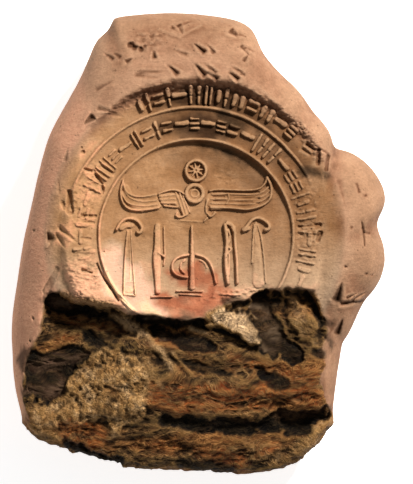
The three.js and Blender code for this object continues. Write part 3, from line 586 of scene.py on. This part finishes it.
ROUGH_SKIN = [  # across, along, two radii, turn, height in mm: scuffed and torn places
    (-21.6, -6.2, 3.2, 4.9, 12, 0.22), (20.0, 3.5, 2.6, 9.5, 0, 0.17), (-9.8, 38.2, 3.8, 1.8, 5, 0.16),
    (5.4, 12.6, 2.2, 1.8, 0, 0.1), (-20.3, -11.0, 6.5, 1.2, -14, 0.35), (7.0, -9.6, 6.5, 0.9, 8, 0.25),
    (0.0, 29.4, 10.0, 1.3, 0, 0.24), (-21.2, 9.0, 2.6, 6.0, -14, 0.16),
    (13.5, 25.4, 6.5, 1.4, -32, 0.24), (21.0, 19.0, 5.0, 1.5, -55, 0.22), (-12.5, 26.8, 5.0, 1.2, 28, 0.2),
]


def patch(x, y, form, soft=0.35):
    """1 inside an ellipse (middle across and along, two radii, turn), fading at its edge."""
    cx, cy, wide, tall, turn = form[:5]
    turn = math.radians(turn)
    dx, dy = x - cx, y - cy
    u = (dx * math.cos(turn) + dy * math.sin(turn)) / wide
    v = (-dx * math.sin(turn) + dy * math.cos(turn)) / tall
    return smooth(1 + soft, 1 - soft, np.hypot(u, v))


def dent(x, y, across, along, heading, length, half, depth):
    """A three-sided stylus dent with a little clay pushed up around it."""
    turn = math.radians(heading)
    dx, dy = x - across, y - along
    run = (dx * math.cos(turn) + dy * math.sin(turn)) / length + 0.5
    side = -dx * math.sin(turn) + dy * math.cos(turn)
    width = 1.25 * half * np.clip(1 - run, 0, 1) ** 0.7 + 0.08
    fall = smooth(-0.08, 0.1, run) * np.clip(1 - run, 0, 1) ** 0.6
    cut = fall * np.clip(1 - np.where(side > 0, side * 0.7, -side * 1.5) / width, 0, 1)
    rim = np.exp(-(((np.abs(side) - width - 0.15) / 0.3) ** 2)) * smooth(-0.2, 0, run) * smooth(1.0, 0.7, run)
    return 0.22 * depth * rim - 1.25 * depth * cut


def written(places):
    x, y, z = places.T
    flat = places * (1, 1, 0)
    change = np.zeros(x.shape)
    for mark in MARKS:
        close = np.hypot(x - mark[0], y - mark[1]) < mark[3] / 2 + 2
        change[close] += dent(x[close], y[close], *mark)
    for run, halves, depth in CRACKS:
        low, high = np.min(run, axis=0) - 1.5, np.max(run, axis=0) + 1.5
        close = (x > low[0]) & (x < high[0]) & (y > low[1]) & (y < high[1])
        inside = within_run(x[close], y[close], run, halves) + 0.1 * rough(flat[close], 0.9, seed=43)
        change[close] -= depth * smooth(-0.3, 0.15, inside)
    for across, along, radius, depth in PITS:
        close = np.hypot(x - across, y - along) < radius + 1
        away = np.hypot(x[close] - across, y[close] - along) + 0.2 * rough(flat[close], 1, seed=41)
        change[close] -= depth * smooth(radius * 1.1, radius * 0.3, away)
    for form in ROUGH_SKIN:
        scuffed = patch(x, y, form, 0.4)
        close = scuffed > 0
        change[close] += form[5] * scuffed[close] * 1.6 * rough(flat[close], (0.8, 0.55, 1), seed=47)
    whole = smooth(0.4, -0.2, break_depth(places))
    return np.stack([x, y, z + change * whole * (z > WAIST)], 1)


reshape(mesh, written)

# The skin of the clay
# Outside, river clay smoothed by damp fingers, with low hollows. Inside the break it is
# matted: chaff and rootlets lie across it in tangles, with crumbs on the buff mound and lump.

CRUMBLED = [  # points in mm, half widths, strength: buff clay that broke in crumbs
    ([(-16.5, -22.5), (-13.0, -25.0), (-12.5, -29.5), (-16.0, -33.5)], (3.0, 3.2, 3.0, 2.2), 1.0),
    ([(-18.5, -24.5), (-21.5, -29.0), (-24.5, -33.5)], (2.4, 4.0, 3.2), 1.0),
    ([(-9.5, -22.0), (-8.4, -26.0), (-11.5, -31.0)], (1.0, 1.4, 1.0), 0.5),
    ([(-29.5, -31.6), (-29.5, -34.5), (-27.0, -37.0)], (1.6, 2.4, 1.2), 0.75),
    ([(-25.4, -9.6), (-21.0, -10.8), (-16.5, -12.4), (-13.0, -13.4)], (0.5, 0.9, 0.9, 0.4), 0.8),
    ([(-16.0, -13.6), (-13.0, -15.3), (-10.0, -17.2)], (0.8, 1.6, 0.8), 0.95),
    ([(-10.0, -17.4), (-4.4, -24.0)], (0.5, 0.24), 1.0), ([(-4.9, -20.8), (-1.4, -24.8)], (0.26, 0.2), 0.8),
    ([(1.6, -14.0), (4.6, -13.9), (8.4, -15.3), (11.3, -18.9)], (1.0, 2.0, 2.3, 0.7), 1.0),
    ([(-1.4, -16.2), (1.5, -16.9)], (0.35, 0.3), 1.0),
    ([(16.6, -9.6), (18.6, -12.5), (20.6, -16.5), (21.6, -19.0)], (0.9, 2.4, 2.0, 0.8), 0.3),
    ([(25.2, -33.2), (22.0, -37.0), (18.5, -39.5)], (0.7, 1.3, 0.8), 0.65),
    ([(9.5, -38.0), (14.5, -41.3)], (0.7, 1.1), 0.4),
]
RIDGES = [  # the same, for what stands proud of the core, in mm
    ([(-16.0, -13.8), (-13.0, -15.4), (-10.0, -17.2)], (0.6, 1.3, 0.6), 0.6),
    ([(-10.0, -17.4), (-4.4, -24.0)], (0.4, 0.2), 0.5), ([(-4.9, -20.8), (-1.4, -24.8)], (0.22, 0.16), 0.4),
    ([(16.6, -9.8), (18.8, -13.0), (20.6, -17.5)], (0.9, 2.2, 1.6), 0.8),
    ([(1.6, -14.0), (4.6, -13.9), (8.4, -15.3), (11.3, -18.9)], (0.8, 1.7, 2.0, 0.6), 1.0),
]
SOIL_AND_SHADOW = [  # the same, for dark soil packed in hollows, and painted shadow in the slot under the seal's broken edge and along the break's right edge
    ([(-27.4, -10.9), (-26.6, -11.9)], (1.7, 1.9), 1.0),
    ([(-25.0, -12.4), (-20.0, -13.0), (-15.5, -14.6)], (1.1, 0.8, 0.5), 0.7),
    ([(-12.5, -13.8), (-9.0, -14.6), (-4.0, -15.0), (1.6, -15.3)], (0.8, 1.2, 1.1, 1.0), 1.0),
    ([(-32.0, -22.5), (-29.0, -25.5), (-26.5, -23.5), (-22.0, -20.8)], (2.2, 4.2, 3.2, 1.2), 1.0),
    ([(-31.5, -27.0), (-27.0, -27.5)], (1.8, 2.0), 1.0),
    ([(11.2, -10.2), (12.2, -14.5), (14.5, -19.0), (18.2, -21.5)], (1.5, 2.1, 2.6, 1.2), 1.0),
    ([(14.0, -11.5), (17.0, -12.5)], (1.6, 1.6), 0.45),
    ([(20.4, -9.6), (22.0, -12.5), (23.0, -15.5)], (0.35, 0.45, 0.4), 0.9),
    ([(23.6, -14.9), (25.2, -15.3)], (0.5, 0.3), 1.0), ([(24.6, -18.0), (25.2, -19.5)], (0.5, 0.5), 0.8),
    ([(21.8, -20.3), (23.3, -21.1)], (0.5, 0.6), 0.9), ([(4.6, -10.8), (8.8, -11.2)], (0.6, 0.6), 0.9),
    ([(3.4, -16.0), (7.6, -17.6)], (0.6, 0.5), 0.75), ([(11.8, -24.6), (15.6, -26.8)], (1.4, 1.4), 0.5),
    ([(14.6, -33.2), (19.0, -33.8), (24.6, -32.2)], (0.9, 2.1, 0.5), 1.0),
    ([(17.0, -36.0), (21.0, -35.2)], (0.9, 0.9), 0.8),
    ([(-6.0, -33.6), (0.0, -34.4), (8.0, -35.0), (14.0, -34.4)], (1.0, 1.5, 1.3, 1.2), 0.62),
    ([(-24.6, -37.8), (-20.0, -40.4), (-15.0, -42.0)], (0.8, 1.3, 0.9), 1.0),
    ([(-3.0, -41.8), (6.0, -43.0)], (1.0, 1.0), 0.5), ([(-20.5, -17.3), (-17.4, -20.0)], (1.3, 1.1), 0.6),
    ([(-8.5, -16.6), (-3.0, -18.5), (2.0, -19.5)], (0.8, 1.3, 1.0), 0.6),
    ([(-14.4, -20.2), (-13.0, -23.0), (-13.6, -25.6)], (0.5, 0.4, 0.7), 0.75),
    ([(-4.0, -22.0), (1.0, -24.0), (6.0, -24.5)], (0.6, 0.8, 0.4), 0.4),
]


def spread(places, forms, soft=0.5):
    """The strength of several runs at each place, with ragged edges."""
    flat = places * (1, 1, 0)
    sway = rough(flat, 2.2, 91), rough(flat, 2.2, 93)
    x, y, _ = places.T
    strength = np.zeros(len(places))
    for run, halves, most in forms:
        low, high = np.min(run, axis=0) - 6, np.max(run, axis=0) + 6
        close = (x > low[0]) & (x < high[0]) & (y > low[1]) & (y < high[1])
        sways = min(1.7, 0.8 * max(halves))
        inside = within_run(x[close] + sways * sway[0][close], y[close] + sways * sway[1][close], run, halves)
        fade = min(soft, 2.5 * max(halves))
        strength[close] = np.maximum(strength[close], most * smooth(-fade, fade, inside))
    return strength


def strands(places, across, along, turn, seed):
    """Wandering fibres as thin ridges; across is their spacing, along their length, turn their lie."""
    flat = places * (1, 1, 0)
    turn = math.radians(turn)
    x, y, z = places.T
    bend = 1.3 * grain(flat, 9, seed) + 0.2 * grain(flat, 3, seed + 1)
    lying = np.stack([x * math.cos(turn) + y * math.sin(turn),
                      -x * math.sin(turn) + y * math.cos(turn) + bend, z], 1)
    return np.clip(1 - 3.5 * np.abs(grain(lying, (along, across, along), seed + 2)), 0, 1)


def core_mask(places):
    """1 on the broken core: on its floor, up its wall, and down the lower side."""
    x, y, z = places.T
    cut = smooth(-1.1, -0.5, z - break_floor(x, y))
    low_side = smooth(-0.72, -0.8, y / HALF[1] + 0.03 * rough(places, 4, seed=53))
    low_side = low_side * smooth(4.5, 8, z + 1.5 * rough(places, 5, seed=51))
    return smooth(-0.3, 0.5, break_depth(places)) * np.maximum(cut, low_side)


def skinned(places):
    """How far the skin stands out or in, in mm."""
    x, y, z = places.T
    core = core_mask(places)
    fibres = np.maximum.reduce([
        strands(places, 1.0, 9.0, -8, 61), strands(places, 1.2, 8.0, 14, 67),
        0.8 * strands(places, 1.5, 7.0, -34, 71), 0.7 * strands(places, 1.7, 7.0, 42, 73),
    ])
    crumbled, soil_and_painted_shadow = spread(places, CRUMBLED, 0.9), spread(places, SOIL_AND_SHADOW)
    matted = 0.32 * fibres + 0.6 * rough(places, (4.0, 2.0, 3), 75)
    matted = matted + 0.12 * grain(places, (0.9, 0.55, 0.8), 77)
    crumbs = 0.5 * rough(places, (0.8, 1.1, 1.0), 79) + 0.3 * rough(places, 3.0, 81) + 0.35
    inside = matted * (1 - crumbled) + crumbs * crumbled - 0.9 * soil_and_painted_shadow * (1 - crumbled)
    inside = inside + spread(places, RIDGES, 0.7)
    hollows = 0.35 * rough(places, 16, 83, 2) + 0.07 * rough(places, 3.5, 89)
    radius, _ = seal_polar(x, y)
    calm = 1 - 0.65 * smooth(SEAL_RADIUS, SEAL_RADIUS - 3, radius) * (z > WAIST)
    return inside * core + hollows * calm * (1 - core)


def normals(mesh):
    flat = np.empty(len(mesh.vertices) * 3, np.float32)
    mesh.vertex_normals.foreach_get("vector", flat)
    return flat.reshape(-1, 3).astype(float)


TRIANGLES = 190000  # about what the piece ends with


def skin(places):
    moved = places + normals(mesh) * skinned(places)[:, None]
    moved[:, 2] = np.maximum(moved[:, 2], 0)
    return moved


reshape(mesh, skin)
bake(clay, "DECIMATE", ratio=TRIANGLES / 2 / len(mesh.polygons))
mesh = clay.data
mesh.polygons.foreach_set("use_smooth", [True] * len(mesh.polygons))

# The colour of the clay
# Iron-bearing river clay, dried and perhaps lightly burnt: pinkish tan, paler on its left side and flat tops
# as painted light, warmer in the dish, with a red stain at the foot of the field. The core is soaked with
# soil.

RUSTED = [  # as the crumbled places: fibres that iron stained orange
    ([(-8.0, -27.8), (2.0, -29.2), (12.0, -28.8), (22.0, -27.2)], (1.4, 2.4, 1.9, 1.0), 0.75),
    ([(-24.6, -35.2), (-20.0, -36.6)], (2.0, 1.9), 1.0), ([(-9.0, -18.5), (2.0, -19.8)], (0.8, 0.9), 0.6),
    ([(6.0, -22.3), (13.0, -23.6), (21.0, -25.5)], (1.0, 1.2, 1.6), 0.6),
    ([(-9.0, -29.0), (-3.0, -31.5)], (1.0, 1.0), 0.6), ([(-8.3, -38.3), (-4.5, -38.9)], (1.2, 1.0), 0.7),
    ([(0.0, -40.0), (8.0, -41.5), (14.0, -38.5)], (1.2, 1.4, 1.2), 0.6),
    ([(-24.8, -14.6), (-18.5, -15.4), (-13.8, -16.6)], (0.6, 0.7, 0.5), 0.5),
    ([(-26.5, -17.6), (-22.6, -17.6)], (0.6, 0.5), 0.5), ([(14.0, -30.5), (22.5, -29.2)], (1.0, 1.3), 0.6),
]
PALE_CRUMBS_AND_HIGHLIGHT = [  # the palest crumbs, on the lump and along the edge, made paler still as painted highlight where they catch the light
    ([(3.5, -13.4), (7.5, -14.2), (10.5, -16.4), (11.8, -18.8)], (0.9, 1.8, 2.0, 0.6), 1.0),
    ([(-1.4, -16.2), (1.5, -16.9)], (0.35, 0.3), 1.0), ([(7.0, -10.2), (10.5, -10.8)], (0.4, 0.4), 0.7),
    ([(-16.0, -13.8), (-13.0, -15.4), (-10.0, -17.4), (-4.4, -24.0)], (0.4, 1.2, 0.6, 0.25), 0.6),
    ([(17.0, -9.8), (19.6, -13.5)], (0.7, 1.2), 0.4),
]
STAINED = [  # the red stain at the foot of the field
    ([(-4.8, -5.8), (-1.0, -6.2), (3.0, -7.4)], (1.2, 2.6, 1.8), 0.95),
    ([(-6.4, -11.0), (-2.0, -12.0), (3.0, -10.6)], (1.8, 2.4, 1.6), 1.0),
    ([(2.4, -5.5), (4.2, -8.0), (5.0, -10.0)], (0.8, 1.2, 1.0), 0.85),
]
PALE_FIELD_AND_LIGHT = [  # pale patches in the field, made paler still as painted light on the lower left of the dish
    ([(-16.0, -2.5), (-13.8, -7.8), (-9.0, -12.2)], (2.2, 4.2, 3.0), 1.0),
    ([(-9.5, -10.5), (-8.5, -12.4)], (1.6, 1.6), 0.7), ([(5.5, -10.0), (12.0, -7.6)], (1.0, 0.9), 0.5),
]
DIRT_AND_SHADOW = [  # soil caught outside the break, in cracks and beside the seal, with painted shadow in dents and inside the ring's upper right
    ([(19.5, 13.9), (24.2, 12.6)], (1.1, 0.7), 0.85),
    ([(0.5, 18.7), (4.7, 17.4), (9.2, 14.8)], (0.1, 0.55, 0.4), 1.0),
    ([(5.0, 24.2), (8.2, 22.0)], (1.3, 1.2), 0.75),
    ([(-19.1, -3.9), (-17.2, -7.4), (-15.1, -10.8)], (0.02, 0.12, 0.08), 0.7),
    ([(25.9, -10.6), (27.2, -8.0)], (0.5, 0.2), 0.9), ([(28.2, -11.3), (31.2, -10.9)], (0.3, 0.2), 0.85),
    ([(26.5, -16.8), (27.1, -14.8)], (0.35, 0.15), 0.8), ([(-28.4, 1.2), (-27.2, 0.6)], (0.5, 0.3), 0.6),
    ([(0.4, 32.9), (-0.6, 33.8)], (0.25, 0.1), 0.6), ([(3.0, 31.5), (2.0, 32.2)], (0.25, 0.1), 0.6),
]
GRIME_AND_SHADE = [  # grime and painted shade on the ground between the strokes and rings, and over the dish's upper right
    ([(-8.5, 26.4), (-3.0, 27.4), (2.0, 27.4), (5.6, 25.9)], (0.8, 1.8, 2.2, 1.6), 1.0),
    ([(6.0, 25.6), (11.0, 23.0), (16.6, 17.6), (20.0, 14.8)], (1.2, 1.4, 1.2, 0.8), 0.7),
    ([(-6.5, 22.0), (-0.2, 22.3), (4.5, 21.4)], (1.6, 2.2, 2.0), 1.0),
    ([(6.0, 20.8), (12.0, 18.6), (16.6, 12.5)], (1.0, 1.0, 0.8), 0.5),
    ([(-6.0, 16.5), (3.0, 16.0), (8.5, 13.8), (12.5, 9.4)], (0.4, 1.2, 2.0, 1.6), 0.35),
    ([(18.6, 9.5), (20.6, 3.0)], (1.2, 0.8), 0.3),
]


def blurred(mesh, places, rounds):
    """The places after that many rounds of moving each vertex to the mean of its neighbours."""
    ends = np.empty(len(mesh.edges) * 2, np.int32)
    mesh.edges.foreach_get("vertices", ends)
    a, b = ends.reshape(-1, 2).T
    count = np.bincount(np.concatenate([a, b]), minlength=len(places))[:, None]
    for _ in range(rounds):
        total = np.stack([
            np.bincount(a, weights=places[b, axis], minlength=len(places))
            + np.bincount(b, weights=places[a, axis], minlength=len(places))
            for axis in range(3)
        ], 1)
        places = total / count
    return places


def hollowness(mesh, places, rounds, depth):
    """How deep a place lies below its surroundings, from -1 on a crest to 1 in a hollow."""
    below = ((blurred(mesh, places, rounds) - places) * normals(mesh)).sum(axis=1)
    return np.clip(below / depth, -1, 1)


def store(mesh, name, values):
    mesh.attributes.new(name, "FLOAT", "POINT").data.foreach_set("value", values.astype(np.float32))


places = read_places(mesh)
x, y, z = places.T
face_up = smooth(8, 14, z)
radius, angle = seal_polar(x, y)
core = core_mask(places)
in_seal = smooth(0.8, -0.8, radius - SEAL_RADIUS) * (1 - core) * face_up
close_hollow = hollowness(mesh, places, 6, 0.12)
wide_hollow = hollowness(mesh, places, 40, 0.5)
store(mesh, "core", core)
store(mesh, "field", smooth(0.5, -2.5, radius - SEAL_RADIUS) * in_seal)
# painted shade: the hollow attribute darkens the hollows of the surface, narrow ones less inside the seal and
# wide ones more on the core
close_share = 0.75 - 0.6 * in_seal
wide_share = 0.12 + 0.4 * core
store(mesh, "hollow", np.clip(close_hollow, 0, 1) * close_share + np.clip(wide_hollow, 0, 1) * wide_share)
# painted highlight: crests and raised edges are painted paler
store(mesh, "painted_crest_highlight", np.clip(-close_hollow, 0, 1))
rusted = spread(places, RUSTED, 0.8) * core
crumbled = spread(places, CRUMBLED, 0.9) * face_up * (1 - 0.9 * rusted)
crumbled = crumbled * np.maximum(core, smooth(-1.6, -0.4, break_depth(places)))
store(mesh, "crumbled", crumbled)
# pale crumbs with painted highlight
store(mesh, "pale_crumbs_and_painted_highlight", spread(places, PALE_CRUMBS_AND_HIGHLIGHT, 0.4) * core)
# dark soil with painted shadow: these runs also darken the slot under the broken edge, the break's right
# edge, dents and the ring's inner side
soil_and_painted_shadow = np.minimum(1, 1.8 * spread(places, SOIL_AND_SHADOW)) * np.maximum(core, 0.8)
soil_and_painted_shadow = np.maximum(soil_and_painted_shadow, spread(places, DIRT_AND_SHADOW, 0.7) * (1 - core))
store(mesh, "soil_and_painted_shadow", soil_and_painted_shadow * face_up * (1 - 0.8 * crumbled))
store(mesh, "rusted", rusted)
store(mesh, "stained", spread(places, STAINED, 0.7) * in_seal)
# pale patches with painted light: the dish is also painted paler towards its bottom, which tilts toward the
# lamp
store(mesh, "pale_field_and_painted_light", np.maximum(spread(places, PALE_FIELD_AND_LIGHT, 1.6), 0.35 * smooth(4, -10, y)) * in_seal)
# grime with painted shade: only the ground between the raised strokes and rings is darkened, the raised
# relief stays light
ground = smooth(0.55, 0.1, relief(places))
store(mesh, "grime_and_painted_shade", spread(places, GRIME_AND_SHADE, 1.4) * ground * in_seal)
# painted shade: the dish is darkened towards its upper right, where its inner side faces away from the lamp,
# and the top edge and the lobe at the right are darkened too
edges = np.maximum(0.6 * smooth(36, 41, y), 0.4 * smooth(24, 30, x)) * (1 - core)
store(mesh, "painted_shade_upper_right", np.maximum(smooth(-14, 24, 0.8 * x + 0.6 * y) * in_seal, edges))
# painted light: the left side, which faces away from the lamp, and faces turned straight up are painted paler
painted_light_left_and_flats = np.maximum(smooth(-14, -24, x), 0.5 * smooth(0.94, 0.995, normals(mesh)[:, 2]))
store(mesh, "painted_light_left_and_flats", painted_light_left_and_flats * (1 - core) * (1 - in_seal) * smooth(3, 9, z))


def linear(code):
    """An sRGB hex colour as linear RGBA."""
    parts = [int(code[i:i + 2], 16) / 255 for i in (1, 3, 5)]
    return [c / 12.92 if c <= 0.04045 else ((c + 0.055) / 1.055) ** 2.4 for c in parts] + [1.0]


def add(tree, kind, inputs=(), stops=(), give=None, **settings):
    """Adds a node with its settings and links; gives its first output, or the one named."""
    node = tree.nodes.new("ShaderNode" + kind)
    for name, value in settings.items():
        setattr(node, name, value)
    for _ in stops[2:]:
        node.color_ramp.elements.new(0.5)
    for i, (place, code) in enumerate(stops):
        node.color_ramp.elements[i].position = place
        node.color_ramp.elements[i].color = linear(code)
    for socket, value in zip([s for s in node.inputs if s.enabled], inputs):
        if isinstance(value, bpy.types.NodeSocket):
            tree.links.new(value, socket)
        elif isinstance(value, str):
            socket.default_value = linear(value)
        elif value is not None:
            socket.default_value = value
    return node.outputs[give] if give else next(out for out in node.outputs if out.enabled)


# River clay, dried and smoothed by hand: matt and dusty, with no gloss even where fingers rubbed it
material = bpy.data.materials.new("dried_river_clay_hand_smoothed")
material.use_nodes = True
tree = material.node_tree
shader = tree.nodes["Principled BSDF"]
coords = add(tree, "TexCoord", give="Object")
field, core, hollow, painted_crest_highlight, crumbled, soil_and_painted_shadow, rusted, stained, pale_field_and_painted_light, grime_and_painted_shade, pale_crumbs_and_painted_highlight, painted_light_left_and_flats, painted_shade_upper_right = (
    add(tree, "Attribute", give="Fac", attribute_name=name)
    for name in ("field", "core", "hollow", "painted_crest_highlight", "crumbled", "soil_and_painted_shadow", "rusted", "stained", "pale_field_and_painted_light",
                 "grime_and_painted_shade", "pale_crumbs_and_painted_highlight", "painted_light_left_and_flats", "painted_shade_upper_right")
)

# Whole clay: a mottle of about 5 mm over slow clouds of 20 mm, fine grit, and rare dark specks
grit = add(tree, "TexNoise", (coords, 1 / (0.5 * MM), 3, 0.6))
mottle = add(tree, "TexNoise", (coords, 1 / (5 * MM), 6, 0.65))
cloud = add(tree, "TexNoise", (coords, 1 / (20 * MM), 3, 0.5))
speck = add(tree, "TexNoise", (coords, 1 / (0.8 * MM), 2, 0.5))
specks = add(tree, "MapRange", (speck, 0.7, 0.74, 0.0, 0.6))
# painted shade in the hollows, broken up by the grit
painted_hollow_shade = add(tree, "Math", (hollow, add(tree, "Math", (grit, 0.45), operation="ADD")), operation="MULTIPLY")
colour = add(tree, "ValToRGB", (mottle,), stops=((0.32, "#896249"), (0.5, "#a2775b"), (0.7, "#b98e6f")))
in_field = add(tree, "ValToRGB", (mottle,), stops=((0.32, "#a6784e"), (0.5, "#bf9065"), (0.7, "#d4a67b")))
blotch = add(tree, "TexNoise", (coords, 1 / (3 * MM), 5, 0.6))
red = add(tree, "ValToRGB", (blotch,), stops=((0.35, "#96452a"), (0.55, "#b96644"), (0.75, "#cf8f6a")))
# layers: slow clouds, painted light on the left and flat tops, the dish's colour, painted shade at its upper
# right and edges, pale patches with painted light, the red stain, grime with painted shade, painted shade in
# hollows, painted highlight on crests, and specks
for share, most, over in (
    (cloud, 0.4, "#92684d"), (painted_light_left_and_flats, 0.75, "#cb9d7d"), (field, 1.0, in_field), (painted_shade_upper_right, 0.55, "#5e3517"),
    (pale_field_and_painted_light, 0.85, "#ead2b2"), (stained, 0.85, red), (grime_and_painted_shade, 0.9, "#1f1308"), (painted_hollow_shade, 1.0, "#4d2c16"),
    (painted_crest_highlight, 0.15, "#ecc59c"), (specks, 1.0, "#5a3d2b"),
):
    share = add(tree, "Math", (share, most), operation="MULTIPLY")
    colour = add(tree, "Mix", (share, colour, over), data_type="RGBA")
grain_tone = add(tree, "ValToRGB", (grit,), stops=((0.3, "#6b6b6b"), (0.7, "#959595")))
colour = add(tree, "Mix", (0.6, colour, grain_tone), data_type="RGBA", blend_type="OVERLAY")

# The core: fibres of about 0.3 mm in four tangled lies over dark, soil-filled clay
swirl = add(tree, "TexNoise", (coords, 1 / (7 * MM), 1, 0.5), give="Color")
bent = add(tree, "VectorMath", (swirl, (0.009, 0.009, 0.0), coords), operation="MULTIPLY_ADD")
fibres = 0.0
for turn, width, strength in ((-8, 0.45, 1.0), (16, 0.5, 0.9), (-34, 0.6, 0.7), (48, 0.7, 0.6)):
    lying = add(tree, "Mapping", (bent, (turn * MM, 0, 0), (0, 0, math.radians(turn)), (9, 1, 3)),
                vector_type="TEXTURE")
    thread = add(tree, "TexNoise", (lying, 1 / (width * MM), 1.5, 0.5))
    off = add(tree, "Math", (add(tree, "Math", (thread, 0.5), operation="SUBTRACT"),), operation="ABSOLUTE")
    line = add(tree, "MapRange", (off, 0.0, 0.04, strength, 0.0), interpolation_type="SMOOTHSTEP")
    fibres = add(tree, "Math", (line, fibres), operation="MAXIMUM")
long_lie = add(tree, "Mapping", (bent, None, None, (5, 1, 3)), vector_type="TEXTURE")
streak = add(tree, "TexNoise", (long_lie, 1 / (1.6 * MM), 5, 0.65))
hue = add(tree, "TexNoise", (long_lie, 1 / (3.5 * MM), 3, 0.5))
orange = add(tree, "MapRange", (hue, 0.5, 0.6, 0.0, 1.0))
olive = add(tree, "MapRange", (hue, 0.48, 0.38, 0.0, 1.0))
matted = add(tree, "ValToRGB", (streak,), stops=((0.4, "#160d06"), (0.53, "#402a17"), (0.66, "#7d5632")))
rust = add(tree, "ValToRGB", (streak,), stops=((0.38, "#3a1808"), (0.52, "#8a4119"), (0.7, "#b56630")))
pale_fibre = add(tree, "ValToRGB", (hue,), stops=((0.38, "#5a4429"), (0.5, "#8d6942"), (0.62, "#a5703f")))

# Crumbs of 0.5 mm on the buff mound and the pale lump, with dark gaps between them
crumb = add(tree, "TexNoise", (coords, 1 / (0.5 * MM), 3, 0.7))
gap = add(tree, "MapRange", (crumb, 0.48, 0.36, 0.0, 1.0))
crumb_tone = add(tree, "TexNoise", (coords, 1 / (2.5 * MM), 4, 0.7))
buff = add(tree, "ValToRGB", (crumb_tone,), stops=((0.34, "#81592f"), (0.5, "#b08553"), (0.66, "#d1a878")))
for share, most, over in ((pale_crumbs_and_painted_highlight, 0.6, "#ebc79e"), (gap, 0.8, "#35230f")):
    share = add(tree, "Math", (share, most), operation="MULTIPLY")
    buff = add(tree, "Mix", (share, buff, over), data_type="RGBA")
# on the core, hollows are darkened as painted shade and crests lightened as painted highlight
for share, most, over in (
    (orange, 0.45, "#6a3b1a"), (olive, 0.6, "#1f1a10"), (rusted, 0.9, rust), (fibres, 0.75, pale_fibre),
    (crumbled, 1.0, buff), (hollow, 0.75, "#140c05"), (painted_crest_highlight, 0.3, "#93703f"),
):
    share = add(tree, "Math", (share, most), operation="MULTIPLY")
    matted = add(tree, "Mix", (share, matted, over), data_type="RGBA")
# near-black soil, also standing as painted shadow under the broken edges
soil_and_shadow_tone = add(tree, "ValToRGB", (streak,), stops=((0.42, "#020101"), (0.6, "#080604"), (0.76, "#20180e")))
soil_and_shadow_tone = add(tree, "Mix", (add(tree, "Math", (fibres, 0.9), operation="MULTIPLY"), soil_and_shadow_tone, "#292013"),
           data_type="RGBA")
in_core = add(tree, "Math", (core, crumbled), operation="MAXIMUM")
for share, most, over in ((in_core, 1.0, matted), (soil_and_painted_shadow, 0.95, soil_and_shadow_tone)):
    share = add(tree, "Math", (share, most), operation="MULTIPLY")
    colour = add(tree, "Mix", (share, colour, over), data_type="RGBA")
tree.links.new(colour, shader.inputs["Base Color"])
shader.inputs["Roughness"].default_value = 0.92
shader.inputs["Specular IOR Level"].default_value = 0.1

# Bump: threads and crumbs on the core, grit and faint finger marks of about 1.5 mm outside
crumb_round = add(tree, "MapRange", (crumb, 0.4, 0.6, 0.0, 1.6), interpolation_type="SMOOTHSTEP")
rubbed = add(tree, "Mapping", (coords, None, (0, 0, 0.15), (2.6, 1, 1)), vector_type="TEXTURE")
fingered = add(tree, "TexNoise", (rubbed, 1 / (1.1 * MM), 5, 0.7))
plain = add(tree, "Math", (grit, 0.3, add(tree, "Math", (fingered, 1.15), operation="MULTIPLY")),
            operation="MULTIPLY_ADD")
core_height = add(tree, "Mix", (crumbled, fibres, crumb_round), data_type="RGBA")
height = add(tree, "Mix", (in_core, plain, core_height), data_type="RGBA")
bump = add(tree, "Bump", (0.9, 0.25 * MM, None, height))
tree.links.new(bump, shader.inputs["Normal"])
mesh.materials.append(material)

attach(clay, "root")
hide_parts("clay_sealing")

# The floor, the light and the camera
# A pale opal sheet, faintly lit through as museums do to lose the ground shadow, a soft lamp at
# the upper right, and a camera far enough above the sealing to keep its outline true.

floor_bm = bmesh.new()
bmesh.ops.create_grid(floor_bm, x_segments=1, y_segments=1, size=1.5)
floor_mesh = bpy.data.meshes.new("floor")
floor_bm.to_mesh(floor_mesh)
floor_bm.free()
floor = bpy.data.objects.new("floor", floor_mesh)
bpy.context.scene.collection.objects.link(floor)
opal = bpy.data.materials.new("pale_opal_acrylic_matt")
opal.use_nodes = True
opal_shader = opal.node_tree.nodes["Principled BSDF"]
opal_shader.inputs["Base Color"].default_value = linear("#f8f7f5")
opal_shader.inputs["Roughness"].default_value = 0.9
opal_shader.inputs["Emission Color"].default_value = linear("#ffffff")
opal_shader.inputs["Emission Strength"].default_value = 0.75
floor_mesh.materials.append(opal)


def area_light(name, azimuth, elevation, distance, size, power, colour):
    """A square lamp that faces the sealing."""
    light = bpy.data.lights.new(name, "AREA")
    light.energy = power
    light.size = size
    light.color = colour
    lamp = bpy.data.objects.new(name, light)
    turn, rise = math.radians(azimuth), math.radians(elevation)
    lamp.location = (distance * math.cos(rise) * math.cos(turn), distance * math.cos(rise) * math.sin(turn),
                     distance * math.sin(rise))
    lamp.rotation_euler = (math.pi / 2 - rise, 0, turn + math.pi / 2)
    bpy.context.scene.collection.objects.link(lamp)


area_light("key", 54, 46, 0.75, 0.1, 11.8, (1.0, 0.97, 0.93))
world = bpy.data.worlds.new("studio")
world.use_nodes = True
world.node_tree.nodes["Background"].inputs["Color"].default_value = (1, 1, 1, 1)
world.node_tree.nodes["Background"].inputs["Strength"].default_value = 0.26
bpy.context.scene.world = world

PIXEL = 0.19  # of the photograph, in mm on the sealing
PHOTO_HEIGHT = 484  # in pixels
VIEW_MIDDLE = (1.52, 0.24, 17)  # what the camera looks at
camera = bpy.data.cameras.new("camera")
camera.lens = 500
camera.sensor_width = 36
camera.clip_start = 0.01
camera.clip_end = 10
stand = bpy.data.objects.new("camera", camera)
distance = PHOTO_HEIGHT * PIXEL * camera.lens / camera.sensor_width
stand.location = (VIEW_MIDDLE[0] * MM, VIEW_MIDDLE[1] * MM, (distance + VIEW_MIDDLE[2]) * MM)
bpy.context.scene.collection.objects.link(stand)
bpy.context.scene.camera = stand
bpy.context.scene.view_settings.view_transform = "Standard"
